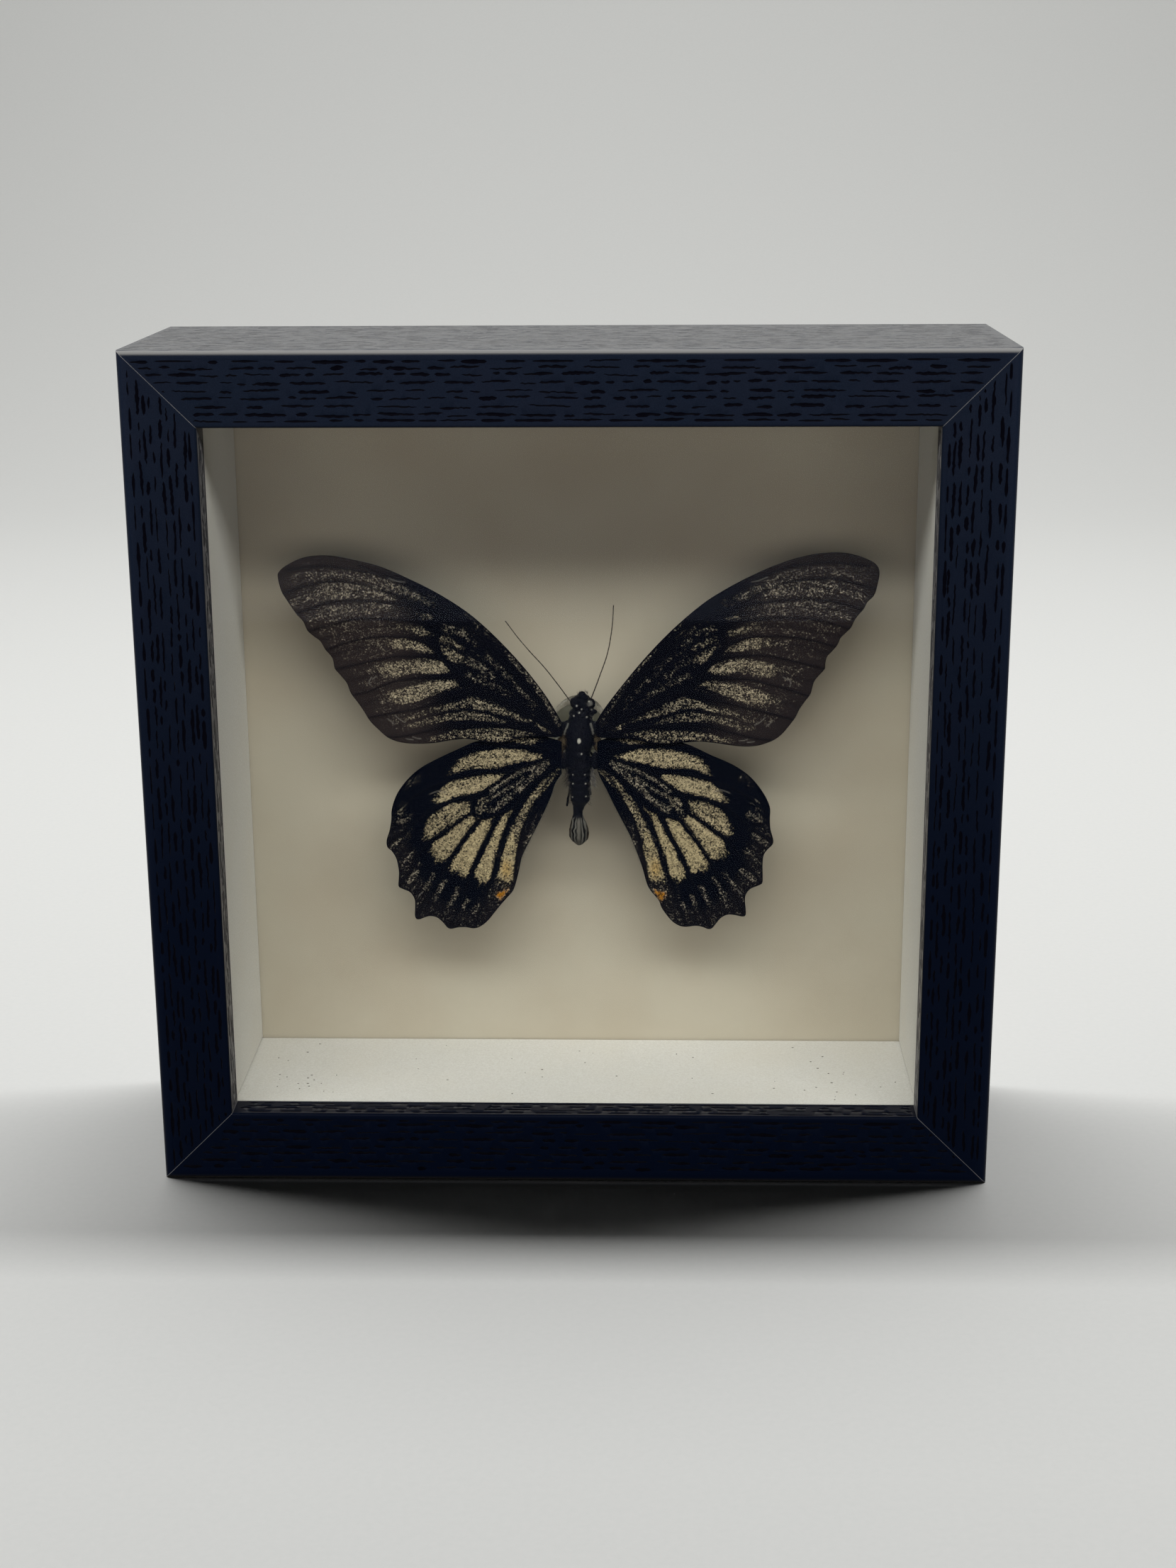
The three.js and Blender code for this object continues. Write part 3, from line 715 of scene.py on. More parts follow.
forewingLeft = {
    "depth": 26.0,
    "scaleShareAndShade": 0.88,          # how thick the pale and brown scales lie; set lower on the right forewing as painted shade
    "outline": [
        (-2.3, 79.6), (-5, 84.3), (-8.2, 88.8), (-11.8, 93.1), (-16, 97.45), (-20, 100.86),
        (-25, 104.1), (-30, 106.7), (-35, 108.9), (-40, 110.2), (-44, 110.9), (-47.5, 110.85),
        (-50, 110.2), (-52.3, 109), (-53.5, 107.9), (-53.65, 106.9), (-53.2, 104.7), (-52.4, 103.1),
        (-51.3, 101.3), (-50.4, 100), (-49.4, 98.8), (-48.7, 97.2), (-47.6, 96.1), (-46.4, 95.1),
        (-45.6, 93.7), (-44.3, 91.9), (-43.95, 90.1), (-42.9, 88.7), (-41.8, 87.2), (-41.2, 85.5),
        (-40, 83.7), (-38.9, 82), (-37.7, 80), (-36.5, 78.7), (-34.9, 77.2), (-33.2, 76.3),
        (-31, 75.85), (-28.7, 75.75), (-26, 75.9), (-23.5, 76.35), (-20.5, 76.7), (-18.2, 76.45),
        (-16.3, 75.95), (-14.2, 75.8), (-12.4, 76.25), (-10, 76.9), (-7, 77.15), (-4, 77), (-2.4, 77.2),
    ],
    "veins": [
        [(-3.9, 77.9), (-7.3, 80.2), (-10, 82.2), (-12.7, 83.7), (-15.5, 85), (-18.2, 86), (-20.9, 88.4),
         (-22.5, 89.8), (-24.4, 91.8), (-25.1, 92.5), (-25.6, 93.8), (-25.2, 95.6), (-24.5, 97.5),
         (-24.2, 99), (-23.2, 99.7)],
        [(-18.2, 86), (-20, 85.75), (-23.2, 84.5), (-26.6, 83.2), (-30, 82.2), (-33, 81.7), (-36.5, 81.1),
         (-38.4, 80.6)],
        [(-21.2, 88.4), (-24.3, 88.4), (-27.7, 88.25), (-31, 88), (-34, 87.3), (-38, 85.7), (-41.1, 85)],
        [(-24.6, 92), (-27.7, 92.2), (-32, 92.3), (-34, 92.1), (-39, 91), (-43.9, 89.9)],
        [(-25.6, 94), (-28.6, 95.4), (-32, 95.95), (-36, 95.95), (-40.1, 95.3), (-45.5, 93.5)],
        [(-24.4, 98.3), (-26, 98), (-28.7, 98.7), (-32, 99.1), (-38, 99.36), (-42.4, 98.7), (-48.6, 97)],
        [(-23.2, 99.9), (-28, 101.1), (-32, 102.1), (-36.7, 102.5), (-40, 102.7), (-44.6, 102.3),
         (-49.2, 100.8), (-50.6, 100.2)],
        [(-29, 101.4), (-32, 103.45), (-36, 104.9), (-40, 105.95), (-44.6, 106.2), (-49.2, 105.3),
         (-53, 103.9)],
        [(-25, 102.3), (-28, 104.2), (-31, 105.9), (-34, 107), (-38, 108), (-42, 108.7), (-46, 109),
         (-52, 108.4)],
        [(-3.5, 79), (-8, 85), (-12, 90), (-16, 94), (-20, 97.6), (-23.2, 99.8)],
        [(-4.2, 80.4), (-9, 87.4), (-13, 92), (-18, 96.9), (-24, 101.6), (-32, 106.6), (-39, 109.2)],
        [(-5, 77.7), (-7.3, 78.4), (-10, 79.05), (-13.2, 79.3), (-22, 79.45), (-27, 78.25), (-32, 77.2),
         (-34.6, 77.1)],
    ],
    "creases": [
        [(-8, 79.45), (-12, 80.6), (-14.5, 81.25), (-17, 81.9), (-19.5, 82.3), (-22, 82.05), (-24.5, 81.5),
         (-27, 81), (-29.5, 80.1), (-31.5, 79.7), (-35.5, 78.1)],
    ],
    "folds": [
        [(-36, 104.6), (-40, 104.4), (-46, 104.25), (-49.2, 103.45), (-52.3, 102.6)],
        [(-38, 101.3), (-40, 101.2), (-43.7, 100.8), (-46, 100.05), (-49.3, 98.7)],
        [(-32, 98.0), (-38, 97.6), (-42, 96.5), (-46.6, 95.3)],
        [(-34, 94.5), (-40, 93.8), (-45.1, 92.1)],
        [(-34, 90), (-38, 88.6), (-42.5, 87.4)],
        [(-34, 84.4), (-37, 83.9), (-40, 82.6)],
    ],
    # cover is the share of pale scales, edge the width in mm over which they thin out
    "patches": [
        (0.2, 0.9, 0.25, [(-8, 80), (-12, 81.9), (-14.5, 83), (-16.5, 83.9), (-19, 84.45), (-21.5, 83.7),
                           (-24.5, 82.9), (-27, 82.25), (-29.5, 81.25), (-31.6, 80.4), (-29.5, 80.3),
                           (-27, 81.2), (-24.5, 81.75), (-22, 82.25), (-19.5, 82.45), (-17, 82.1),
                           (-14.5, 81.45), (-12, 80.8), (-9.5, 79.9)]),
        (0.2, 0.8, 0.25, [(-13, 79.9), (-15.5, 80.9), (-17.5, 81.5), (-19.5, 81.9), (-22, 81.7),
                           (-24.5, 81.25), (-27, 80.75), (-29.5, 79.9), (-31.3, 79.1), (-29.5, 78.95),
                           (-27, 79.45), (-24.5, 80), (-22, 80.2), (-19.5, 80.45), (-17, 80.2),
                           (-14.5, 80.1)]),
        (0.22, 0.9, 0.35, [(-7.5, 77.6), (-10, 78.2), (-12.5, 78.4), (-15, 78.5), (-17.5, 78.5), (-20, 78.3),
                           (-22, 78.1), (-24.5, 77.4), (-27, 76.9), (-26, 76.25), (-22, 76.7),
                           (-19.5, 76.8), (-17, 76.7), (-14.5, 76.2), (-12, 76.6), (-9.5, 77.25)]),
        (0.43, 1.0, 0.3, [(-21.4, 87), (-22.5, 87.55), (-24.5, 87.6), (-27, 87.2), (-29, 86.9), (-31, 86.3),
                          (-33, 85.7), (-34.1, 85.2), (-34, 84.2), (-32.5, 83.5), (-31, 83.5), (-29, 84),
                          (-27, 84.8), (-25, 85.6), (-23, 86.3)]),
        (0.46, 1.0, 0.3, [(-23.2, 89.6), (-23.9, 90.8), (-25.5, 91.3), (-28, 91.6), (-31, 91.5),
                          (-33.2, 91.1), (-34.8, 90.5), (-35.2, 89.4), (-34.4, 88.6), (-33, 88.6),
                          (-31, 89.1), (-28, 89.35), (-25, 89.2)]),
        (0.48, 0.8, 0.3, [(-25.9, 93), (-26.6, 93.7), (-28, 94.5), (-30, 95.3), (-32, 95.6), (-33.4, 95.3),
                          (-33.6, 94.5), (-32, 93.8), (-30, 93.6), (-28, 93.1)]),
        (0.2, 0.9, 0.3, [(-26.4, 96.2), (-26.5, 96.9), (-28, 97.6), (-30, 98.1), (-31.8, 98.1), (-32, 97.6),
                         (-30, 97.2), (-28, 96.3)]),
        (0.12, 0.7, 0.3, [(-25.5, 99.6), (-27, 100.1), (-28.5, 100), (-28, 99.4), (-26.5, 99.1)]),
        (0.3, 0.7, 0.3, [(-24.4, 94), (-22.5, 93.4), (-20.3, 92.1), (-20.9, 91.2), (-21.6, 91), (-23, 92),
                          (-24.2, 93.4)]),
        (0.24, 0.6, 0.3, [(-24.5, 95.6), (-23.9, 96), (-22.5, 95.4), (-20, 93.8), (-20.5, 93.6),
                          (-22.5, 94.5), (-24.3, 95.2)]),
        (0.3, 0.5, 0.4, [(-7, 79.5), (-5.9, 79), (-4.8, 77.9), (-6.8, 78.8)]),
    ],
    # cover, half width and the line of each drawn-out streak
    "strokes": [
        (0.12, 0.6, [(-23.4, 97.5), (-20, 96.6)]),
        (0.08, 0.6, [(-20, 97.5), (-17.7, 96.2)]),
        (0.08, 0.5, [(-19.5, 95.4), (-18.2, 94.5)]),
        (0.09, 0.6, [(-19.5, 91.5), (-17.3, 90.4), (-15.2, 88.6)]),
        (0.05, 0.6, [(-15.9, 92), (-14.1, 90.4), (-11.8, 88.1), (-10.2, 86.3)]),
        (0.1, 0.6, [(-19.1, 88.7), (-17.3, 87.9)]),
        (0.06, 0.6, [(-17.3, 87.9), (-14.1, 86.3), (-11.8, 85.2)]),
        (0.06, 0.6, [(-10, 85.9), (-8.2, 84.3), (-7.3, 82.5)]),
        (0.06, 0.5, [(-19.5, 100.3), (-16, 97), (-14, 95.2), (-11.8, 92.2)]),
        (0.16, 0.45, [(-11.8, 92.2), (-9.1, 89.3), (-6.6, 86.1), (-4.8, 82.7), (-3.2, 79.6)]),
        (0.15, 0.8, [(-29, 103.6), (-32, 105), (-35, 106.2), (-38, 107)]),
        (0.1, 0.7, [(-26, 102.6), (-29, 103.6)]),
        (0.1, 0.8, [(-38, 107), (-42, 107.6), (-46, 107.3), (-49, 106.6)]),
        (0.2, 0.6, [(-34, 104.9), (-38, 105.2), (-42, 105.3), (-46, 104.9)]),
        (0.22, 0.7, [(-33, 103.3), (-36, 103.9), (-40, 104), (-44, 103.7)]),
        (0.14, 0.7, [(-44, 103.7), (-48, 103.1), (-51, 102.2)]),
        (0.15, 0.6, [(-34, 101.5), (-38, 101.7), (-42, 101.5), (-45, 101.1)]),
        (0.13, 0.6, [(-36, 100.5), (-40, 100.6), (-44, 100.1), (-48, 99)]),
        (0.1, 0.6, [(-40, 98.5), (-44, 97.7), (-46, 96.9)]),
        (0.12, 0.6, [(-33, 84.6), (-35.4, 84.2)]),
        (0.12, 0.6, [(-34, 94.9), (-37, 94.7)]),
        (0.12, 0.6, [(-35, 90.2), (-37.4, 89.6)]),
    ],
    "scratches": [
        [(-37.2, 88.4), (-37.7, 87.6), (-37.5, 86.9)], [(-36.4, 88.5), (-37.1, 88)],
        [(-30, 77.1), (-29.2, 76.8), (-28.5, 76.75)], [(-31.2, 76.7), (-29.9, 76.5)],
        [(-33.2, 81.2), (-32.2, 80.3), (-31.3, 79.8)], [(-34.5, 80.5), (-33.4, 79.6)],
        [(-33.5, 106.8), (-31.8, 106.2), (-30.6, 106.1)],
    ],
}

forewingRight = {
    "depth": 26.0,
    # painted shade: lower than the left forewing's, so this wing comes out darker
    "scaleShareAndShade": 0.66,
    "outline": [
        (3.8, 79.8), (5.2, 82.2), (8, 86), (12, 91), (16, 95.45), (20, 99.3), (24, 102.6), (28, 105.1),
        (32, 107.2), (36, 109), (40, 110.4), (44, 111.27), (48, 111.43), (51, 110.85), (53.5, 109.85),
        (54.6, 108.9), (54.95, 107.7), (54.7, 105.9), (54.1, 103.7), (52.9, 102.4), (52.3, 101.2),
        (51.3, 100), (50.6, 98.9), (50.1, 97.8), (49.1, 96.7), (48.2, 95.7), (47.75, 94.6), (46.7, 93.2),
        (45.9, 92.3), (45.6, 91.05), (45.5, 90), (44.3, 88.55), (43.65, 87.6), (43.3, 86.4), (43, 85.3),
        (41.95, 83.8), (41.05, 82.4), (40.2, 80.7), (38.2, 78), (36.6, 76.66), (35, 75.95), (33.5, 75.5),
        (31.5, 75.33), (29, 75.5), (26, 75.95), (23, 76.25), (20, 76.05), (17, 75.8), (14.5, 75.7),
        (12.5, 76.2), (10, 76.65), (7, 76.85), (5, 76.9), (3.9, 77.2),
    ],
    "veins": [
        [(5, 78.4), (9.1, 80.3), (11.8, 81.8), (14.1, 82.9), (18.6, 85.3), (20, 86), (21.8, 87.45),
         (24.1, 89.95), (26.1, 92), (27, 93.4), (27.2, 94.7), (26.9, 96.1), (26.1, 98.4), (25.2, 99.4),
         (23.9, 99.7)],
        [(20, 86), (24.2, 84.6), (28.5, 83.4), (32, 82.5), (36, 81.6), (40.2, 80.5)],
        [(22.95, 88.25), (27.3, 88.25), (32.6, 87.9), (35.4, 87.1), (38, 86.5), (43.1, 84.8)],
        [(25.5, 91.4), (28.2, 92.2), (32, 92.5), (34.7, 92.5), (37.6, 91.95), (42.2, 90.9), (45.6, 90)],
        [(27.1, 94.1), (30.8, 95.7), (36, 96.15), (40, 95.9), (44, 95.1), (47.9, 94.1)],
        [(26.2, 98.1), (28.1, 98.1), (30, 98.8), (34, 99.3), (38, 99.6), (44, 99.1), (50, 97.5)],
        [(23.9, 99.7), (28, 100.9), (31.7, 102.1), (34, 102.3), (40, 102.9), (43.3, 102.9), (48, 102.3),
         (52, 101)],
        [(31, 102.2), (33.1, 103.8), (36.5, 105.4), (40, 106.3), (46, 106.8), (50, 106), (54.5, 104.8)],
        [(28, 103.1), (32, 105.7), (36, 107.9), (40, 109.1), (46, 109.7), (53, 109)],
        [(5, 79.2), (9.6, 85), (13.6, 90), (17.6, 94), (21, 97.6), (23.9, 99.7)],
        [(5.6, 80.4), (10.4, 87.3), (14.4, 92), (19, 96.7), (25, 101.8), (33, 106.6), (40, 109.4)],
        [(6.9, 77.7), (11.9, 79.05), (15, 79.3), (23.4, 79.35), (28.3, 78.1), (33.4, 76.9), (36, 76.7)],
    ],
}

hindwingLeft = {
    "depth": 26.65,
    "scaleShareAndShade": 0.96,
    "outline": [
        (-2.5, 76), (-6, 77), (-10, 77.2), (-14, 76.9), (-17.25, 76.25), (-19, 75.8), (-21, 74.9),
        (-25, 73), (-28.5, 71.1), (-31, 69), (-33.25, 66), (-34.35, 63), (-34.5, 61), (-34.9, 58.8),
        (-35.5, 56.9), (-35.4, 55.5), (-34.6, 54.7), (-33.8, 53.2), (-33.4, 50.9), (-33.45, 49.3),
        (-33.5, 47.8), (-32.6, 47.2), (-31.4, 46.6), (-30.6, 45.3), (-30.5, 43.8), (-30.6, 42.1),
        (-30.3, 41.3), (-29.6, 41.25), (-28.6, 41.65), (-27.6, 41.85), (-26.4, 41.55), (-25.3, 40.6),
        (-24.5, 39.6), (-23.7, 39.35), (-22.5, 39.6), (-21, 39.65), (-19.5, 39.45), (-18.2, 39.85),
        (-16.7, 41.1), (-14.6, 43.8), (-13, 45.7), (-12, 46.9), (-11.4, 48.5), (-10.7, 51.3),
        (-10.2, 53.6), (-8.9, 56.4), (-7.4, 59.4), (-5.9, 62.5), (-4.6, 65.5), (-3.8, 67.9), (-2.6, 69.8),
    ],
    "veins": [
        [(-5.5, 72.75), (-9.5, 71.25), (-12, 70.4), (-14.5, 70.1), (-17, 70.1), (-20, 69.6), (-23, 68.75),
         (-26, 67.75), (-30, 65.6), (-34.3, 62)],
        [(-9.5, 71.2), (-13.75, 68.75), (-16.25, 67), (-19, 65.6), (-22, 65.25), (-24.5, 64),
         (-26.5, 63.5), (-30, 60.5), (-33, 58), (-35.3, 56.1)],
        [(-19.1, 65.4), (-19.5, 63.5), (-19.25, 62), (-18.5, 61)],
        [(-19.5, 62.5), (-21, 61.25), (-23, 59.75), (-25, 58.25), (-27, 57), (-29.5, 54), (-31.5, 50.5),
         (-33.4, 48)],
        [(-18.5, 60.75), (-20, 59), (-21.5, 56.75), (-23.75, 53.5), (-25, 50.5), (-27.7, 46.5),
         (-30.3, 41.6)],
        [(-15.25, 61), (-16.25, 58.5), (-17.5, 56), (-18.75, 53.5), (-19.5, 51.5), (-20.8, 47.5),
         (-22.2, 43.5), (-23.9, 39.6)],
        [(-12.5, 62), (-13, 60), (-14, 57), (-15, 54), (-15.5, 51.5), (-16.3, 48.5), (-17.8, 44),
         (-19.3, 39.7)],
        [(-3.5, 71.8), (-4.5, 71), (-7, 68.75), (-9.5, 66.5), (-11, 64.25), (-12, 63), (-14, 62.25),
         (-15.25, 61.75), (-17.5, 61), (-18.5, 61)],
        [(-3, 70.5), (-4.75, 69), (-7, 65.25), (-8.75, 62.25), (-9.75, 59.5), (-10.5, 56.5),
         (-11.1, 53.5), (-11.5, 51), (-12, 48.5)],
        [(-4.5, 74.4), (-9, 75.3), (-14.3, 75.65), (-18, 75.4), (-21, 74.5)],
    ],
    "creases": [[(-10, 58.75), (-11.25, 56.5), (-12, 54.25)]],
    "folds": [
        [(-28, 60.7), (-31, 59.6), (-34.4, 58.9)], [(-29.5, 57), (-32.4, 54.6), (-33.7, 53)],
        [(-27, 51.5), (-29.8, 47.6), (-31, 45.4)], [(-22.8, 48), (-25, 44.4), (-26.6, 41.8)],
        [(-18.7, 46.5), (-20.2, 43), (-21.3, 40)],
    ],
    "patches": [
        (0.25, 0.6, 0.5, [(-6.5, 76.4), (-9, 76.6), (-12, 76.3), (-11, 75.7), (-8, 75.6)]),
        (0.64, 1.0, 0.7, [(-6.5, 73), (-8.75, 74), (-12, 74.4), (-15.5, 74.2), (-18, 73.75), (-20.5, 73),
                         (-21.75, 72), (-23, 70.4), (-22.25, 70.1), (-20.75, 70.75), (-18.5, 71.1),
                         (-16, 71.1), (-13.5, 71.4), (-11, 72.1), (-8.75, 72.5), (-7.25, 72.75)]),
        (0.76, 0.9, 0.75, [(-14.1, 69.5), (-15.5, 69.6), (-18, 69.2), (-20.5, 68.75), (-22.5, 68.4),
                           (-24, 67.5), (-25.5, 66), (-26.1, 64.25), (-25, 64.5), (-23, 65.25),
                           (-20.5, 66), (-18, 66.6), (-16, 67.75), (-14.5, 68.75)]),
        (0.56, 1.0, 0.75, [(-20, 64.25), (-22, 64.1), (-23.5, 63.6), (-25.5, 62.5), (-27, 61.25),
                          (-28, 59.5), (-28.25, 57.25), (-27, 57.75), (-25.5, 58.75), (-23.5, 60),
                          (-21.5, 61.5), (-20, 62.5)]),
        (0.79, 0.8, 0.85, [(-18.6, 61.25), (-20, 61.4), (-22, 60), (-24, 58.25), (-26, 56.75),
                           (-26.9, 55.75), (-27, 54.25), (-26.25, 53.25), (-25.25, 52.9), (-23.75, 53.75),
                           (-23, 55), (-21.5, 57), (-20, 59), (-19, 60.5)]),
        (0.89, 0.8, 0.95, [(-15.75, 61), (-17.25, 60.75), (-18.5, 59.25), (-20, 57.25), (-21.5, 55.25),
                           (-22.75, 53.25), (-23.5, 51.5), (-22, 50.5), (-20.75, 49.75), (-20.25, 51),
                           (-19.5, 52.5), (-18.5, 54.75), (-17.25, 57.25), (-16.25, 59.5)]),
        (0.87, 0.8, 0.95, [(-12.1, 62.6), (-13.25, 61.75), (-14.5, 60), (-15.5, 57.75), (-16.75, 55.25),
                           (-18, 52.5), (-19, 50.25), (-18, 48.5), (-16.75, 49), (-16, 50.5),
                           (-15.5, 52.75), (-14.5, 56), (-13.75, 58.25), (-13, 60.5)]),
        (0.36, 0.9, 0.6, [(-3.3, 70.6), (-6, 68.5), (-8, 66), (-9.5, 64), (-10.75, 61.5), (-12, 59),
                          (-12.75, 57), (-12.3, 56), (-11, 56.75), (-10.25, 59.5), (-9, 62), (-7.5, 64.5),
                          (-6, 66.75), (-4.25, 69), (-3, 70.25)]),
        (0.8, 0.6, 0.95, [(-11.7, 59), (-12.75, 57), (-13.5, 54.75), (-14.25, 51.75), (-14.75, 49.5),
                           (-13.25, 48.75), (-12, 49), (-11.75, 51.5), (-11.4, 54.25), (-11.2, 56.75)]),
        (0.26, 0.6, 0.3, [(-18.7, 62.4), (-18.3, 64.2), (-17.3, 65.2), (-16.2, 65.4), (-15.9, 64.9),
                         (-16.6, 63.8), (-17.3, 62.6), (-18, 62.1)]),
    ],
    "strokes": [
        (0.3, 0.55, [(-5.25, 72), (-8, 71), (-10, 70.5), (-12, 69.25), (-14, 68), (-15.75, 66.75)]),
        (0.22, 0.45, [(-16.2, 65.2), (-13.75, 66.25), (-11.5, 67.6), (-9.6, 68.9)]),
        (0.26, 0.6, [(-6, 71), (-9, 68.5), (-11, 66.5), (-13, 64.75), (-15, 63.25), (-15.9, 62.9)]),
        (0.24, 0.45, [(-6, 62), (-7.5, 59), (-9, 56.5), (-10, 53.5)]),
        (0.05, 0.8, [(-29.2, 69.2), (-31.5, 67.3)]),
        (0.14, 0.7, [(-32, 64), (-33, 62.3)]),
        (0.14, 0.7, [(-31.3, 61.4), (-33, 60.4)]),
        (0.26, 0.5, [(-32, 57.5), (-34.2, 56)]),
        (0.16, 0.5, [(-31, 54.3), (-32.5, 52.3)]),
        (0.24, 0.55, [(-30, 50.5), (-32, 48.5)]),
        (0.18, 0.5, [(-26.8, 50), (-28.7, 47)]),
        (0.16, 0.5, [(-24.9, 48.8), (-26.8, 45)]),
        (0.2, 0.5, [(-22.3, 47.2), (-23.7, 44.3)]),
        (0.15, 0.45, [(-20.3, 45.5), (-21.4, 43.3)]),
        (0.18, 0.5, [(-18.6, 44), (-19.5, 42.8)]),
    ],
    "orange": [(-15.9, 46.1), (-15, 47.1), (-13.6, 47.3), (-12.8, 47.5), (-12.7, 46.5), (-13.5, 45.6),
               (-14.3, 44.9), (-15, 45.4)],
    "yellow": (-13.2, 51.2),
    "scratches": [[(-24.2, 66.2), (-25.6, 66.5), (-27.2, 65.9)], [(-29.8, 45.8), (-29.1, 46.6)]],
}

hindwingRight = {
    "depth": 26.65,
    "scaleShareAndShade": 0.96,
    "outline": [
        (4.0, 76), (7, 77), (11, 77.3), (15, 77.1), (18, 76.4), (21.5, 75.2), (25, 73.5), (29, 71.7),
        (32.2, 69.45), (34.6, 66.5), (36, 63.6), (36.05, 61.3), (36.2, 59.2), (36.75, 57.2),
        (36.6, 56.2), (35.6, 55.1), (35, 54), (34.85, 52.2), (34.9, 50), (34.8, 48.7), (33.9, 48.1),
        (32.6, 47.5), (31.8, 46.4), (31.65, 45.2), (31.8, 43.6), (31.8, 42.4), (31.2, 42.05),
        (29.9, 42.3), (28.5, 42.4), (27.2, 41.75), (26.3, 40.65), (25.5, 39.65), (24.7, 39.5),
        (23.7, 39.9), (22.4, 40.1), (20.8, 39.95), (19.4, 40.1), (17.8, 41.2), (16.1, 43.5),
        (15.5, 45.05), (14.7, 46.1), (13.9, 47.1), (13.2, 48.5), (12.3, 51.8), (11.3, 54.7),
        (10, 58), (8.5, 61), (7, 64), (5.7, 66.8), (4.6, 69), (4, 70.6),
    ],
}

# The right wings carry the left wings' pattern, mirrored and shifted at these places:
# a place on the left wing, the sum of the two x values and the rise of the right one
forewingShift = [
    (-4, 78, 1.9, 0), (-18.2, 86, 1.8, 0), (-20.9, 88.4, 1.9, -0.1), (-24.4, 91.8, 1.15, -0.3),
    (-25.6, 93.8, 1.5, 0.3), (-24.4, 98.4, 1.8, -0.3), (-23.2, 99.8, 1.0, 0), (-38.2, 80.6, 1.6, -0.2),
    (-41.2, 85.5, 1.8, -0.3), (-43.9, 89.9, 1.6, 0.1), (-45.6, 93.7, 2.0, 0.6), (-48.7, 97.2, 1.3, 0.5),
    (-50.5, 100.2, 1.4, 0.8), (-53, 104, 1.3, 0.9), (-53.6, 107, 1.3, 0.8), (-47.5, 110.8, 0.6, 0.6),
    (-18.2, 76.4, 1.8, -0.4), (-34.9, 77.2, 1.7, -0.5),
]
hindwingShift = [
    (-6.5, 73, 1.6, 0), (-23, 70.4, 1.75, 0), (-14.1, 69.5, 2.0, 0), (-26.1, 64.2, 1.4, 0.3),
    (-20, 64.2, 1.25, 0.2), (-28, 59.5, 0.45, 0.7), (-18.6, 61.2, 1.3, 0.1), (-26, 53.5, 0.6, 0.6),
    (-15.7, 61, 1.15, 0), (-22, 50.5, 1.0, 0.9), (-12.1, 62.6, 1.4, 0), (-18.5, 48.7, 1.2, 0.6),
    (-13.2, 49, 1.7, 0.2), (-14.1, 46.2, 1.65, 0), (-33.5, 48, 1.3, 0.7), (-30.3, 41.5, 1.3, 0.7),
    (-24, 39.4, 1.3, 0.3), (-34.9, 58.8, 1.3, 0.5), (-3, 70.5, 1.5, 0),
]


def mirrored(points, shifts):
    # the nearer a place in shifts is, the more it counts
    blur, falloff = 1.0, 1.5
    points = np.asarray(points, float)
    knots = np.array(shifts, float)
    away = ((points[:, None] - knots[None, :, :2]) ** 2).sum(-1) + blur
    weight = 1 / away ** falloff
    weight /= weight.sum(1, keepdims=True)
    moved = weight @ knots[:, 2:]
    return np.stack([moved[:, 0] - points[:, 0], points[:, 1] + moved[:, 1]], -1)


def rightFrom(left, right, shifts):
    for key in ("veins", "creases", "folds", "scratches"):
        if key not in right:
            right[key] = [mirrored(line, shifts) for line in left[key]]
    right["patches"] = [(cover, edge, warm, mirrored(line, shifts))
                        for cover, edge, warm, line in left["patches"]]
    right["strokes"] = [(cover, half, mirrored(line, shifts)) for cover, half, line in left["strokes"]]
    if "orange" in left:
        right["orange"] = mirrored(left["orange"], shifts)
        right["yellow"] = mirrored([left["yellow"]], shifts)[0]


rightFrom(forewingLeft, forewingRight, forewingShift)
rightFrom(hindwingLeft, hindwingRight, hindwingShift)

wingBuild = {
    "grid": 0.19,           # spacing of the points on the upper face, in mm
    "quickGrid": 2.2,
    "backGrid": 1.1,
    "edgeGrid": 0.22,
    "weld": 1e-6,
    "inset": 0.12,
    "thickness": 0.16,
    "veinHeight": 0.1,
    "veinHalf": 0.17,
    "pleat": 0.07,
    "pleatRise": 0.8,       # width of the rise along a vein
    "pleatDip": 0.6,        # width of the dip along a fold
    "camber": 0.35,         # how far the tips lift
    "middleX": 0.7,
    "camberStart": 8,
    "camberRun": 46,
    "wave": 0.14,
    "waveCell": 9.0,
}

wingPattern = {
    "streakWidth": 0.26,
    "foreStreak": 1.8,      # how far noise is drawn out along the veins, in mm
    "hindStreak": 1.1,
    "ahead": 0.4,           # step along a vein that tells which way the edge of a patch runs
    "ragged": 0.6,
    "streaky": 1.6,
    "patchy": 0.15,
    "foreStroke": 2.0,      # width over which a stroke thins out, in its own half widths
    "hindStroke": 1.6,
    "hindStrokeShare": 0.75,
    "besideVein": 0.36,
    "inkedVein": 0.3,
    "inkedCrease": 0.26,
    "scratch": 0.08,
    "ridge": 0.15,
    "hindDust": 0.025,
    "hindBrown": 0.16,
    "foreDust": (0.03, 0.02, 0.01),     # everywhere, towards the front edge, in slow patches
    "foreInnerDust": 0.008,
    "foreBrown": (0.04, 0.86),          # everywhere, outside the cell
    "coverRange": (0.002, 0.985),
}


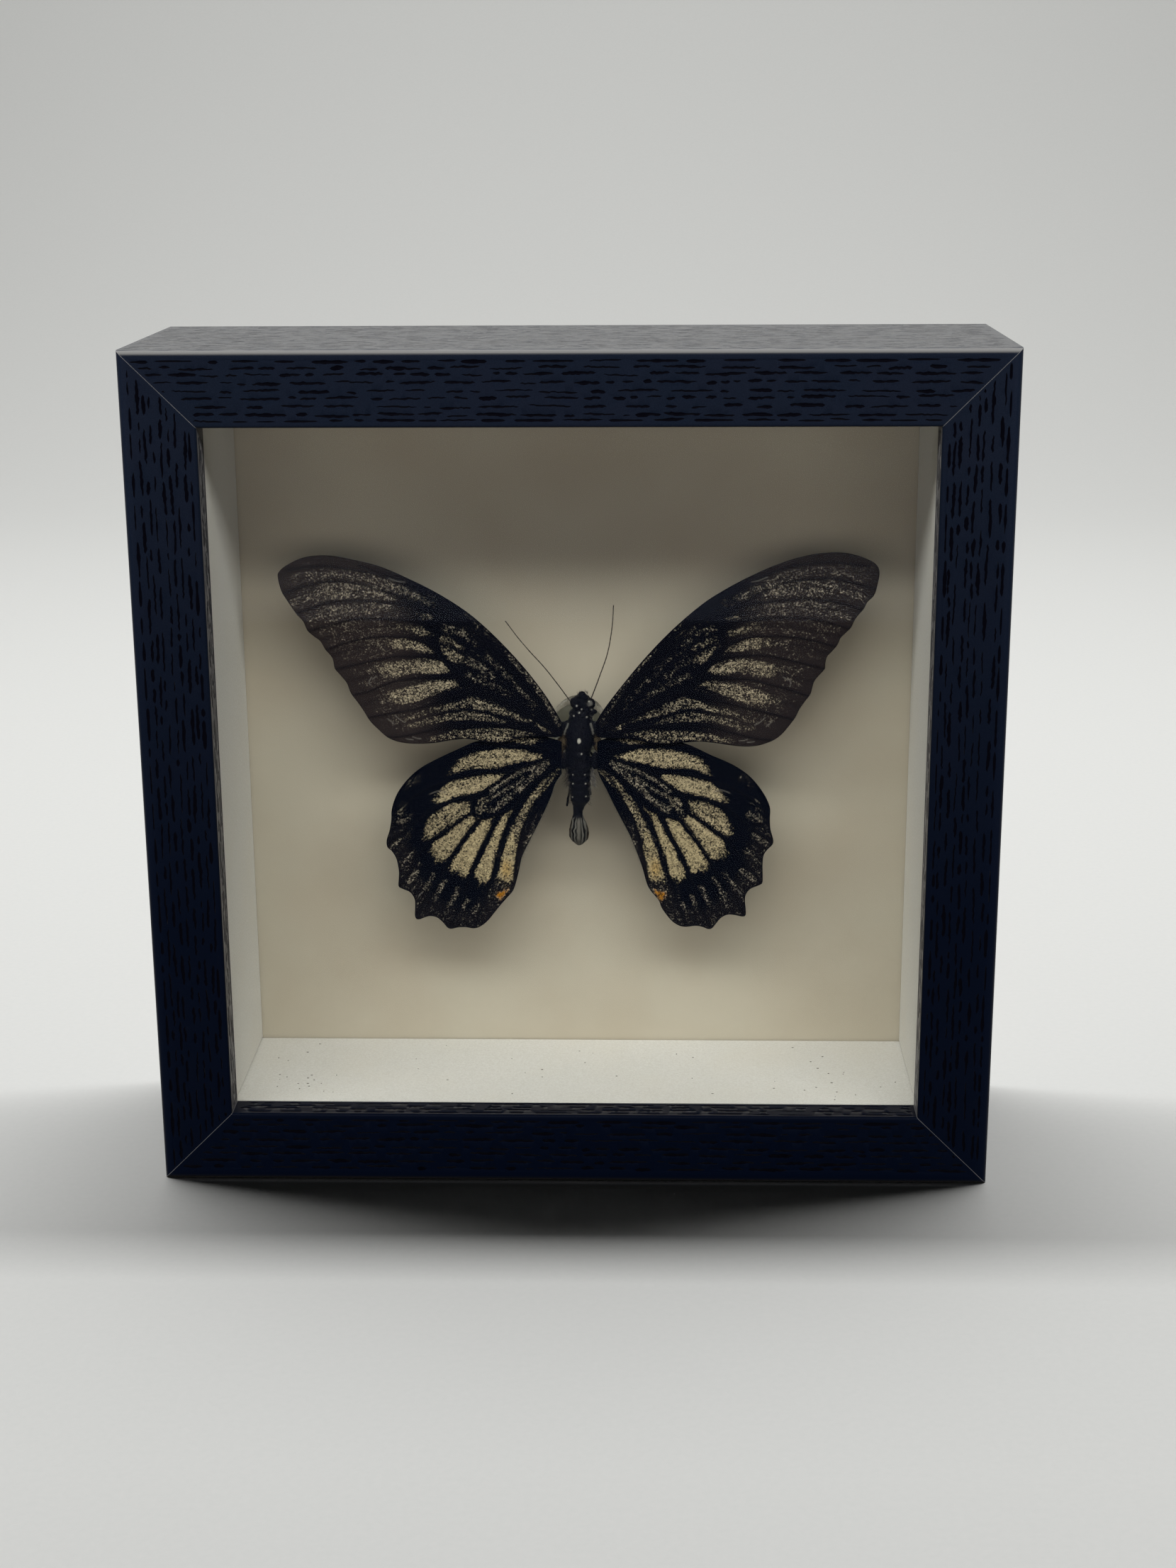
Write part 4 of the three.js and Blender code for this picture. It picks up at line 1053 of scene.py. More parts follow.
def wingGrid(outline, spacing, edgeSpacing):
    # a fine net of triangles inside an outline, its edge points first
    edge = evenly(np.vstack([outline, outline[:1]]), edgeSpacing)[:-1]
    low, high = edge.min(0), edge.max(0)
    rows = np.arange(low[1], high[1], spacing * 0.866)
    columns = np.arange(low[0], high[0], spacing)
    x, z = np.meshgrid(columns, rows)
    x = x + (np.arange(len(rows)) % 2)[:, None] * spacing / 2
    inner = np.stack([x.ravel(), z.ravel()], -1)
    inner = inner[insideDistance(inner, edge) > spacing * 0.6]
    points = [Vector(p) for p in np.vstack([edge, inner])]
    ring = [(k, (k + 1) % len(edge)) for k in range(len(edge))]
    made, _, faces, _, _, _ = delaunay_2d_cdt(points, ring, [], 1, wingBuild["weld"], False)
    made = np.array([tuple(p) for p in made])
    faces = np.array(faces)
    rim = (faces < len(edge)).all(1)        # only these can bridge a notch in the edge
    keep = np.ones(len(faces), bool)
    keep[rim] = insideDistance(made[faces[rim]].mean(1), edge) > 0
    return made, faces[keep].tolist(), len(edge)


def nearest(points, lines):
    best = np.full(len(points), 1e9)
    for line in lines:
        best = np.minimum(best, lineDistance(points, spline(line, 3)))
    return best


def veinDirection(points, veins):
    # the direction of the nearest vein at each point
    best = np.full(len(points), 1e9)
    direction = np.zeros((len(points), 2))
    for line in veins:
        line = spline(line, 2)
        for a, b in zip(line[:-1], line[1:]):
            ab = b - a
            t = np.clip(((points - a) @ ab) / (ab @ ab), 0, 1)
            away = np.hypot(*(points - a - t[:, None] * ab).T)
            nearer = away < best
            best = np.where(nearer, away, best)
            direction[nearer] = ab / np.hypot(*ab)
    return direction


def brushed(points, direction, width, reach, seed):
    # noise drawn out along a direction, even from 0 to 1
    steps = 9
    total = np.zeros(len(points))
    for step in np.linspace(-reach, reach, steps):
        total += softNoise(points + direction * step, width, seed)
    order = np.argsort(np.argsort(total))
    return order / len(points)


def wingFields(points, wing, hind):
    # what each point of a wing carries: the share of pale scales, their warmth, and so on
    reach = np.abs(points[:, 0])
    edge = insideDistance(points, spline(wing["outline"], 4))
    vein = nearest(points, wing["veins"])
    fold = nearest(points, wing["folds"])
    crease = nearest(points, wing["creases"])
    direction = veinDirection(points, wing["veins"])
    drawnOut = wingPattern["hindStreak"] if hind else wingPattern["foreStreak"]
    streak = brushed(points, direction, wingPattern["streakWidth"], drawnOut, 3)
    loose = 0.2 * softNoise(points, 0.45, 7) + 0.18 * softNoise(points, 1.4, 4)
    patchy = softNoise(points, 2.2, 5)
    slow = softNoise(points, 4.0, 6)

    cover = np.zeros(len(points))
    warm = np.zeros(len(points))
    for share, soft, warmth, outline in wing["patches"]:
        closed = spline(np.vstack([outline, outline[:1]]), 3)[:-1]
        away = insideDistance(points, closed)
        # ragged where the edge lies across the veins, cleaner where it runs along them
        ahead = insideDistance(points + wingPattern["ahead"] * direction, closed)
        across = np.clip(np.abs(ahead - away) / wingPattern["ahead"], 0, 1) ** 2
        away = away + loose * (0.4 + wingPattern["ragged"] * across)
        away = away + wingPattern["streaky"] * (streak - 0.5) * across
        thick = smoothStep(away, -soft * 0.5 - 0.5 * across, soft * 0.4 + 1.0 * across)
        part = share * wing["scaleShareAndShade"] * thick
        warm = np.where(part > cover, warmth, warm)
        cover = np.maximum(cover, part)
    strokes = np.zeros(len(points))
    for share, half, line in wing["strokes"]:
        away = lineDistance(points, spline(line, 3)) + loose * 0.4
        width = half * (wingPattern["hindStroke"] if hind else wingPattern["foreStroke"])
        part = share * (1 - smoothStep(away, 0.0, width))
        strokes = np.maximum(strokes, part)
    strokes *= wing["scaleShareAndShade"] * (wingPattern["hindStrokeShare"] if hind else 1)
    cover = np.maximum(cover, strokes * (1 + wingPattern["patchy"] * patchy))

    besideVein = bell(vein, wingPattern["besideVein"])
    if hind:
        # dusty margin outside a blue-black band
        low = 90 - points[:, 1]
        dust = wingPattern["hindDust"] * (1 - smoothStep(edge, 2.6, 5.5)) * smoothStep(low, 24, 32)
        dust = dust * (1 - besideVein) * (1 - 0.6 * bell(fold, 0.4))
        brown = wingPattern["hindBrown"] * (1 - smoothStep(edge, 1.6, 4.6)) * smoothStep(low, 26, 36)
    else:
        # brown-grey dust outside the cell, thinning towards the front edge and the tip
        outer = smoothStep(reach - 0.25 * (points[:, 1] - 90), 24, 34)
        front = smoothStep(edge, 1.2, 3.2)
        margin = smoothStep(edge, 0.2, 1.0)
        upper = smoothStep(points[:, 1], 88, 99)
        even, forward, slowly = wingPattern["foreDust"]
        dust = wing["scaleShareAndShade"] * (even + forward * upper + slowly * slow) * outer * margin
        dust = dust * (0.35 + 0.65 * front)
        dust = dust * (1 - 0.6 * besideVein) * (1 - 0.4 * bell(fold, 0.42))
        inner = wingPattern["foreInnerDust"] * (1 - outer) * smoothStep(edge, 0.3, 1.5)
        dust = np.maximum(dust, inner * (1 - besideVein))
        least, more = wingPattern["foreBrown"]
        brown = more * wing["scaleShareAndShade"] * outer * (1 - 0.35 * besideVein) * (1 - 0.25 * bell(fold, 0.35))
        brown = least + brown
    cover = np.maximum(cover, dust)
    inked = 0.92 if hind else 0.92 - 0.32 * outer
    cover = cover * (1 - inked * bell(vein, wingPattern["inkedVein"]))
    cover = cover * (1 - 0.85 * bell(crease, wingPattern["inkedCrease"]))
    cover = cover * smoothStep(edge, 0.0, 0.35)

    gold = np.zeros(len(points))
    yellow = np.zeros(len(points))
    if hind:
        away = insideDistance(points, spline(np.vstack([wing["orange"], wing["orange"][:1]]), 3)[:-1])
        gold = smoothStep(away + loose + 0.6 * (streak - 0.5), -0.15, 0.6)
        cover = np.maximum(cover, gold * 0.7)
        far = np.hypot((points[:, 0] - wing["yellow"][0]) / 1.2, (points[:, 1] - wing["yellow"][1]) / 2.1)
        yellow = (1 - smoothStep(far, 0.2, 1.4)) * 0.8
    scratch = 0.8 * bell(nearest(points, wing["scratches"]), wingPattern["scratch"])
    ridge = bell(vein, wingPattern["ridge"])
    # about the height below which that share of the scales' random values lies
    cover = np.clip(cover, *wingPattern["coverRange"])
    cover = 0.5 + 0.1 * np.log(cover / (1 - cover))
    return {"cover": cover, "streak": streak, "warm": warm, "gold": gold, "yellow": yellow, "brown": brown,
            "scratch": scratch, "ridge": ridge}, vein, fold


def camberAt(points):
    away = np.abs(points[:, 0] - wingBuild["middleX"])
    reach = np.clip((away - wingBuild["camberStart"]) / wingBuild["camberRun"], 0, 1)
    wave = wingBuild["wave"] * softNoise(points, wingBuild["waveCell"], 8)
    wave = wave * smoothStep(np.abs(points[:, 0]), 14, 26)
    return -wingBuild["camber"] * reach ** 2 + wave


def addWing(name, wing, hind, material, replaced):
    outline = spline(wing["outline"], 6)
    spacing = wingBuild["grid"] * 1
    front, frontFaces, count = wingGrid(outline, spacing, wingBuild["edgeGrid"])
    back, backFaces, _ = wingGrid(outline, wingBuild["backGrid"], wingBuild["edgeGrid"])
    fields, vein, fold = wingFields(front, wing, hind)
    lift = wingBuild["veinHeight"] * bell(vein, wingBuild["veinHalf"])
    rise, dip = bell(vein, wingBuild["pleatRise"]), bell(fold, wingBuild["pleatDip"])
    lift += wingBuild["pleat"] * (rise - 0.8 * dip)
    upper = wing["depth"] + wingBuild["inset"] + camberAt(front) - lift
    under = wing["depth"] + wingBuild["inset"] + wingBuild["thickness"] + camberAt(back)
    vertices = np.vstack([np.stack([front[:, 0], upper, front[:, 1]], -1),
                          np.stack([back[:, 0], under, back[:, 1]], -1)])
    start = len(front)
    faces = list(frontFaces) + [tuple(start + k for k in reversed(face)) for face in backFaces]
    for k in range(count):
        after = (k + 1) % count
        faces.append((k, start + k, start + after, after))
    for key in fields:
        fields[key] = np.concatenate([fields[key], np.zeros(len(back))])
    piece = addPiece(name, vertices, faces, material, replaced, fields, 180)
    fixNormals(piece)
    print(f"  {name}: {len(faces)} faces")


scaleMix = {
    "large": 0.25,          # sizes of the scales, in mm
    "fine": 0.13,
    "largeShare": 0.44,     # how much each counts when a scale comes out pale or dark
    "fineShare": 0.38,
    "streakShare": 0.18,
    "soft": 0.15,
}


def wingMaterial(name, look):
    # single scales, pale or dark: the share of pale ones comes from the wing's fields
    wing = Surface(name, Roughness=0.6, Specular_IOR_Level=0.0)
    first, second, third = wing.cells(scaleMix["large"])
    fine = wing.cells(scaleMix["fine"])[0]
    mixed = wing.sum("ADD", wing.sum("MULTIPLY", first, scaleMix["largeShare"]),
                     wing.sum("MULTIPLY", fine, scaleMix["fineShare"]))
    streaks = wing.sum("MULTIPLY", wing.field("streak"), scaleMix["streakShare"])
    above = wing.sum("SUBTRACT", wing.field("cover"), wing.sum("ADD", mixed, streaks))
    pale = wing.spread(above, -scaleMix["soft"], scaleMix["soft"])
    scale = wing.blend(wing.field("warm"), look["pale"], look["cream"])
    scale = wing.blend(wing.field("yellow"), scale, look["yellow"])
    scale = wing.blend(wing.spread(second, 0, 1, 0.0, 0.62), scale, look["dull"])
    scale = wing.blend(wing.field("gold"), scale, look["gold"])
    ground = wing.blend(wing.field("brown"), look["dark"], look["brown"])
    ground = wing.blend(wing.spread(third, 0.5, 1, 0.0, 0.25), ground, look["fleck"])
    color = wing.blend(pale, ground, scale)
    color = wing.blend(wing.spread(wing.field("ridge"), 0.25, 0.9, 0, 0.6), color, look["ridge"])
    color = wing.blend(wing.field("scratch"), color, look["scratch"])
    wing.feed("Base Color", color)
    wing.feed("Roughness", wing.spread(wing.field("ridge"), 0.3, 1.0, 0.66, 0.36))
    wing.bump(first, 0.02, 0.35)
    return wing.material


wingLook = {
    "pale": tone(188, 178, 158),
    "cream": tone(198, 182, 142),
    "yellow": tone(196, 164, 102),
    "gold": tone(178, 120, 34),
    "dull": tone(74, 66, 54),
    "dark": tone(3, 5, 14),
    "brown": tone(50, 43, 42),
    "fleck": tone(17, 17, 23),
    "ridge": tone(14, 14, 19),
    "scratch": tone(118, 114, 108),
}
foreScales = wingMaterial("forewing_scales", wingLook)
hindScales = wingMaterial("hindwing_scales", wingLook)
addWing("forewing_left_scaled", forewingLeft, False, foreScales, ["forewing_left"])
addWing("forewing_right_scaled", forewingRight, False, foreScales, ["forewing_right"])
addWing("hindwing_left_scaled", hindwingLeft, True, hindScales, ["hindwing_left"])
addWing("hindwing_right_scaled", hindwingRight, True, hindScales, ["hindwing_right"])
print("wings scaled")


# ---- body, antennae and hairs

bodyShape = {
    "depth": 28,
    "flat": 0.86,           # depth of the body against its width
    "voxel": 0.13,
    "quickVoxel": 1.8,
    "legRadius": 0.24,
    "middleX": 0.65,
    "claspMiddle": 0.5,
    "ringFrom": 63.8,
    "ringPitch": 1.4,
    "ringWidth": 0.13,
    "ringPush": 0.1,
    "grainPush": 0.07,
    "claspPush": 0.1,
    # height, left edge and right edge
    "edges": [
        (55.6, 0.2, 0.8), (56.1, -0.3, 1.5), (56.6, -0.9, 2.0), (57.2, -1.3, 2.3), (58, -1.4, 2.4),
        (58.8, -1.35, 2.3), (59.7, -1.15, 2.05), (60.6, -0.95, 1.6), (61.3, -0.7, 1.3), (62, -0.55, 1.2),
        (63, -0.6, 1.5), (63.7, -0.7, 1.95), (64.5, -1.0, 2.55), (65.2, -1.0, 2.6), (65.9, -1.15, 2.65),
        (66.6, -1.15, 2.6), (67.3, -1.35, 2.72), (68, -1.35, 2.66), (68.7, -1.6, 2.82), (69.4, -1.6, 2.76),
        (70.1, -1.75, 2.95), (71, -1.7, 2.95), (72, -1.8, 2.85), (73, -1.9, 2.75), (74, -1.9, 2.75),
        (75, -1.95, 3.2), (76, -2.15, 3.5), (77, -2.2, 3.6), (78, -2.0, 3.55), (79, -1.65, 3.3),
        (80, -1.35, 3.2), (80.8, -1.1, 3.2), (81.4, -0.9, 3.2), (81.9, -0.5, 2.7),
    ],
    # centre and half sizes, [x, depth, z]
    "lumps": [
        ((1.1, 27.9, 81.1), (2.35, 1.75, 1.25)), ((1.2, 28, 83.2), (1.75, 1.5, 1.7)),
        ((2.78, 27.55, 83.05), (0.95, 0.95, 1.05)), ((-0.12, 27.9, 83.15), (0.92, 0.95, 1.05)),
        ((1.25, 27.2, 84.7), (0.78, 0.65, 0.8)), ((1.9, 26.9, 84.3), (0.5, 0.5, 0.6)),
        ((0.3, 26.8, 82.6), (0.6, 0.5, 0.6)), ((2.0, 26.7, 82.1), (0.6, 0.45, 0.5)),
        ((3.35, 27.6, 81.5), (0.65, 0.6, 0.5)), ((-0.55, 27.4, 81.2), (0.6, 0.6, 0.55)),
        ((-1.6, 27.3, 78.5), (0.55, 0.7, 1.5)), ((3.0, 27.3, 78.5), (0.6, 0.7, 1.5)),
        ((0.72, 26.5, 77.2), (1.5, 0.9, 2.6)), ((0.7, 26.4, 73.3), (1.2, 0.75, 1.1)),
        ((0.7, 26.7, 71.2), (1.9, 0.9, 0.9)),
        # the membranes and plates at the wing roots
        ((-2.25, 27.1, 78.3), (0.8, 0.5, 1.5)), ((-2.6, 27.3, 75.4), (0.85, 0.5, 1.5)),
        ((-2.3, 27.4, 72.2), (0.8, 0.5, 1.7)), ((3.7, 27.1, 78.4), (0.8, 0.5, 1.5)),
        ((4.1, 27.3, 75.4), (0.85, 0.5, 1.5)), ((3.6, 27.4, 72.2), (0.8, 0.5, 1.7)),
    ],
}


def ringFaces(rows, columns):
    # the faces between rings of points, and one to close each end
    faces = []
    for r in range(rows - 1):
        for c in range(columns):
            d = (c + 1) % columns
            faces.append((r * columns + c, r * columns + d, (r + 1) * columns + d, (r + 1) * columns + c))
    faces.append(tuple(range(columns))[::-1])
    faces.append(tuple((rows - 1) * columns + c for c in range(columns)))
    return faces


def loftVertices(edges, flat, depth, columns):
    rings = []
    for z, left, right in edges:
        middle, half = (left + right) / 2, (right - left) / 2
        turn = np.arange(columns) / columns * 2 * math.pi
        rings.append(np.stack([middle + half * np.cos(turn), depth + half * flat * np.sin(turn),
                               np.full(columns, z)], -1))
    return np.vstack(rings), ringFaces(len(rings), columns)


def ballVertices(centre, half, columns=24, rows=14):
    vertices = [(0, 0, -1)]
    for r in range(1, rows):
        tilt = r / rows * math.pi
        for c in range(columns):
            turn = c / columns * 2 * math.pi
            out, up = math.sin(tilt), -math.cos(tilt)
            vertices.append((out * math.cos(turn), out * math.sin(turn), up))
    vertices.append((0, 0, 1))
    faces = []
    last = len(vertices) - 1
    for c in range(columns):
        d = (c + 1) % columns
        faces.append((0, 1 + d, 1 + c))
        faces.append((last, last - columns + c, last - columns + d))
        for r in range(rows - 2):
            a, b = 1 + r * columns, 1 + (r + 1) * columns
            faces.append((a + c, a + d, b + d, b + c))
    return np.array(vertices) * half + centre, faces


def tubeVertices(line, radii, sides=8):
    # a tube round a line of [x, depth, z], closed at both ends
    line = np.asarray(line, float)
    radii = np.broadcast_to(radii, len(line))
    along = np.gradient(line, axis=0)
    along /= np.linalg.norm(along, axis=1)[:, None]
    side = np.cross(along, np.array([0.13, 0.97, 0.21]))
    side /= np.linalg.norm(side, axis=1)[:, None]
    up = np.cross(along, side)
    turn = (np.arange(sides) / sides * 2 * math.pi)[None, :, None]
    rings = line[:, None] + radii[:, None, None] * (np.cos(turn) * side[:, None] + np.sin(turn) * up[:, None])
    return rings.reshape(-1, 3), ringFaces(len(line), sides)


def joinParts(parts):
    vertices, faces = [], []
    start = 0
    for points, polygons in parts:
        vertices.append(points)
        faces += [tuple(start + k for k in face) for face in polygons]
        start += len(points)
    return np.vstack(vertices), faces


def melted(parts, voxel):
    # the parts fused into one skin by a voxel remesh
    vertices, faces = joinParts(parts)
    mesh = bpy.data.meshes.new("melt")
    mesh.from_pydata(toMetres(vertices).tolist(), [], faces)
    work = bpy.data.objects.new("melt", mesh)
    scene.collection.objects.link(work)
    fixNormals(work)
    remesh = work.modifiers.new("skin", "REMESH")
    remesh.mode = "VOXEL"
    remesh.voxel_size = voxel * mm
    smooth = work.modifiers.new("smooth", "SMOOTH")
    smooth.factor, smooth.iterations = 0.5, 3
    skin = bpy.data.meshes.new_from_object(work.evaluated_get(bpy.context.evaluated_depsgraph_get()))
    bpy.data.objects.remove(work)
    points = np.array([tuple(v.co) for v in skin.vertices]) / mm - np.array([0, frontY, 0])
    polygons = [tuple(p.vertices) for p in skin.polygons]
    bpy.data.meshes.remove(skin)
    return points, polygons


foldedLegs = [
    [(-1.2, 28.8, 79.2), (-3.1, 29.3, 77.6), (-2.4, 29.6, 75.2), (-2.9, 29.8, 73.2)],
    [(-1.4, 28.9, 76.6), (-3.5, 29.2, 74.8), (-2.5, 29.6, 72.2), (-1.4, 29.9, 69.6)],
    [(-1.2, 28.9, 73.8), (-2.2, 29.5, 71.2), (-1.1, 29.9, 67.5), (-1.8, 28.9, 62.9)],
]


def bodyParts():
    edges = spline(bodyShape["edges"], 3)
    parts = [loftVertices(edges, bodyShape["flat"], bodyShape["depth"], 40)]
    parts += [ballVertices(np.array(centre), np.array(half)) for centre, half in bodyShape["lumps"]]
    for route in foldedLegs:
        for side in (1, -1):
            line = spline([(x if side == 1 else 1.3 - x, depth, z) for x, depth, z in route], 8)
            line = line if side == 1 else line[:-4]
            parts.append(tubeVertices(line, bodyShape["legRadius"]))
    return parts


tanRoots = [(-2.5, 76.1), (-2.9, 74.4), (4.3, 76.3), (4.6, 74.6)]
paleStrips = [[(-1.35, 79.3), (-1.75, 78.4), (-2.0, 77.5)], [(2.85, 79.4), (3.1, 78.5), (3.3, 77.5)]]
# pale scale dots, with painted highlights on the head (2.5, 83.65) and the thorax (1.15, 73.9)
bodyDotsAndGlints = [(2.5, 83.65), (-0.25, 81.0), (2.15, 80.8), (1.2, 82.2), (0.75, 81.6), (0.3, 82.9), (3.0, 82.0),
            (-0.65, 65.3), (1.85, 65.5), (1.85, 68.0), (-0.55, 68), (-0.5, 69.8), (1.7, 69.8), (1.15, 73.9)]
claspWidths = [(55.6, 0.5), (56.6, 1.4), (58, 1.9), (60, 1.5), (61.3, 1.0)]        # height, half width

bodyLook = {
    "dark": tone(1, 2, 10),
    "grain": tone(15, 17, 26),
    "tanDark": tone(24, 22, 20),
    "tan": tone(82, 70, 53),
    "claspDark": tone(14, 14, 16),
    "clasp": tone(96, 95, 90),
    "claspRim": tone(30, 22, 18),
    "claspMiddle": tone(92, 90, 84),
    # pale dots and strips, and the painted highlights and eye sheen
    "dotAndGlint": tone(196, 194, 184),
}


def addBody():
    points, faces = melted(bodyParts(), bodyShape["voxel"] * (1))
    flat = points[:, [0, 2]]
    frontal = smoothStep(28.6 - points[:, 1], 0, 0.8)
    # rings round the abdomen, grain on the thorax and streaks along the claspers
    phase = ((points[:, 2] - bodyShape["ringFrom"]) / bodyShape["ringPitch"] + 0.5) % 1 - 0.5
    ring = 0.5 - bell(phase, bodyShape["ringWidth"])
    abdomen = smoothStep(points[:, 2], 63.5, 64.5) * (1 - smoothStep(points[:, 2], 70.5, 71.5))
    claspers = 1 - smoothStep(points[:, 2], 60.6, 61.6)
    outward = points[:, :2] - np.array([bodyShape["middleX"], bodyShape["depth"]])
    outward = outward / (np.linalg.norm(outward, axis=1)[:, None] + 1e-9)
    fromMiddle = np.abs(flat[:, 0] - bodyShape["claspMiddle"])
    share = fromMiddle / np.interp(flat[:, 1], *np.transpose(claspWidths))
    share = share + 0.16 * softNoise(flat, 0.7, 21)
    streak = 0.5 + 0.5 * np.cos(2 * math.pi * share / 0.42)
    push = bodyShape["ringPush"] * ring * abdomen
    push = push + bodyShape["grainPush"] * softNoise(flat, 0.35, 22) * (1 - claspers)
    push = push + bodyShape["claspPush"] * (streak - 0.5) * claspers
    points[:, :2] += outward * push[:, None]
    paleDotsAndGlints = np.zeros(len(points))
    for x, z in bodyDotsAndGlints:
        paleDotsAndGlints = np.maximum(paleDotsAndGlints, 0.7 * (1 - smoothStep(np.hypot(flat[:, 0] - x, flat[:, 1] - z), 0.07, 0.2)))
    tan = np.zeros(len(points))
    for x, z in tanRoots:
        far = np.hypot(flat[:, 0] - x, (flat[:, 1] - z) * 0.7) + 0.4 * softNoise(flat, 0.45, 23)
        tan = np.maximum(tan, 1 - smoothStep(far, 0.4, 1.15))
    # painted highlight: a glint on the thorax
    glint = np.hypot((flat[:, 0] - 0.72) / 0.3, (flat[:, 1] - 76.45) / 0.5) + 0.25 * softNoise(flat, 0.3, 24)
    paleDotsAndGlints = np.maximum(paleDotsAndGlints, 0.9 * (1 - smoothStep(glint, 0.7, 1.1)))
    # painted reflection: a grey sheen on the right eye
    paintedEyeSheen = np.hypot(flat[:, 0] - 2.75, flat[:, 1] - 83.3) + 0.2 * softNoise(flat, 0.4, 26)
    paleDotsAndGlints = np.maximum(paleDotsAndGlints, 0.2 * (1 - smoothStep(paintedEyeSheen, 0.3, 0.75)))
    strip = nearest(flat, paleStrips) + 0.08 * softNoise(flat, 0.3, 25)
    paleDotsAndGlints = np.maximum(paleDotsAndGlints, 0.2 * (1 - smoothStep(strip, 0.08, 0.25)))
    middle = bell(fromMiddle, 0.35) * claspers
    rim = smoothStep(fromMiddle, 1.15, 1.7) * claspers
    fields = {"paleDotsAndGlints": paleDotsAndGlints * frontal, "tan": tan * frontal, "clasper": claspers, "streak": streak, "rim": rim,
              "middle": middle * frontal}
    body = Surface("body_chitin", Roughness=0.28, Specular_IOR_Level=0.05)
    grain = body.noise(0.22, 3, 0.7)
    dark = body.blend(body.spread(grain, 0.4, 0.7), bodyLook["dark"], bodyLook["grain"])
    tanTone = body.blend(body.spread(grain, 0.35, 0.6), bodyLook["tanDark"], bodyLook["tan"])
    dark = body.blend(body.field("tan"), dark, tanTone)
    streaks = body.spread(body.field("streak"), 0.35, 0.9)
    claspTone = body.blend(streaks, bodyLook["claspDark"], bodyLook["clasp"])
    claspTone = body.blend(body.field("rim"), claspTone, bodyLook["claspRim"])
    claspTone = body.blend(body.field("middle"), claspTone, bodyLook["claspMiddle"])
    color = body.blend(body.field("clasper"), dark, claspTone)
    color = body.blend(body.field("paleDotsAndGlints"), color, bodyLook["dotAndGlint"])
    body.feed("Base Color", color)
    body.feed("Roughness", body.spread(grain, 0.3, 0.7, 0.2, 0.45))
    body.bump(grain, 0.05, 0.6)
    addPiece("body_skin", points, faces, body.material, ["butterfly_body"], fields, 180)


# head to tip, [x, depth, z]
antennaRoutes = {
    "left": [(-0.7, 27.5, 83.3), (-1.35, 27.5, 84.1), (-3, 27.3, 86.5), (-5.6, 27, 90), (-8.2, 26.8, 93),
             (-10.3, 26.6, 95.6), (-12.6, 26.5, 98.8)],
    "right": [(2.75, 27.5, 83.7), (3.3, 27.5, 85.0), (4.5, 27.2, 88.3), (5.95, 26.9, 92.6),
              (6.8, 26.7, 97.4), (7.1, 26.5, 101.7)],
}


def addAntennae():
    horn = Surface("antenna_chitin_brown", Roughness=0.45)
    rings = horn.noise((0.6, 0.6, 0.25), 2, 0.5)
    horn.feed("Base Color", horn.blend(rings, tone(16, 12, 10), tone(38, 29, 23)))
    for side, route in antennaRoutes.items():
        line = spline(route, 30)
        share = np.linspace(0, 1, len(line))
        radii = 0.115 - 0.03 * share + 0.012 * np.sin(share * 160) + 0.02 * smoothStep(share, 0.9, 1.0)
        vertices, faces = tubeVertices(line, radii, 8)
        addPiece(f"antenna_{side}_ringed", vertices, faces, horn.material,
                 [f"antenna_{side}"], None, 60)


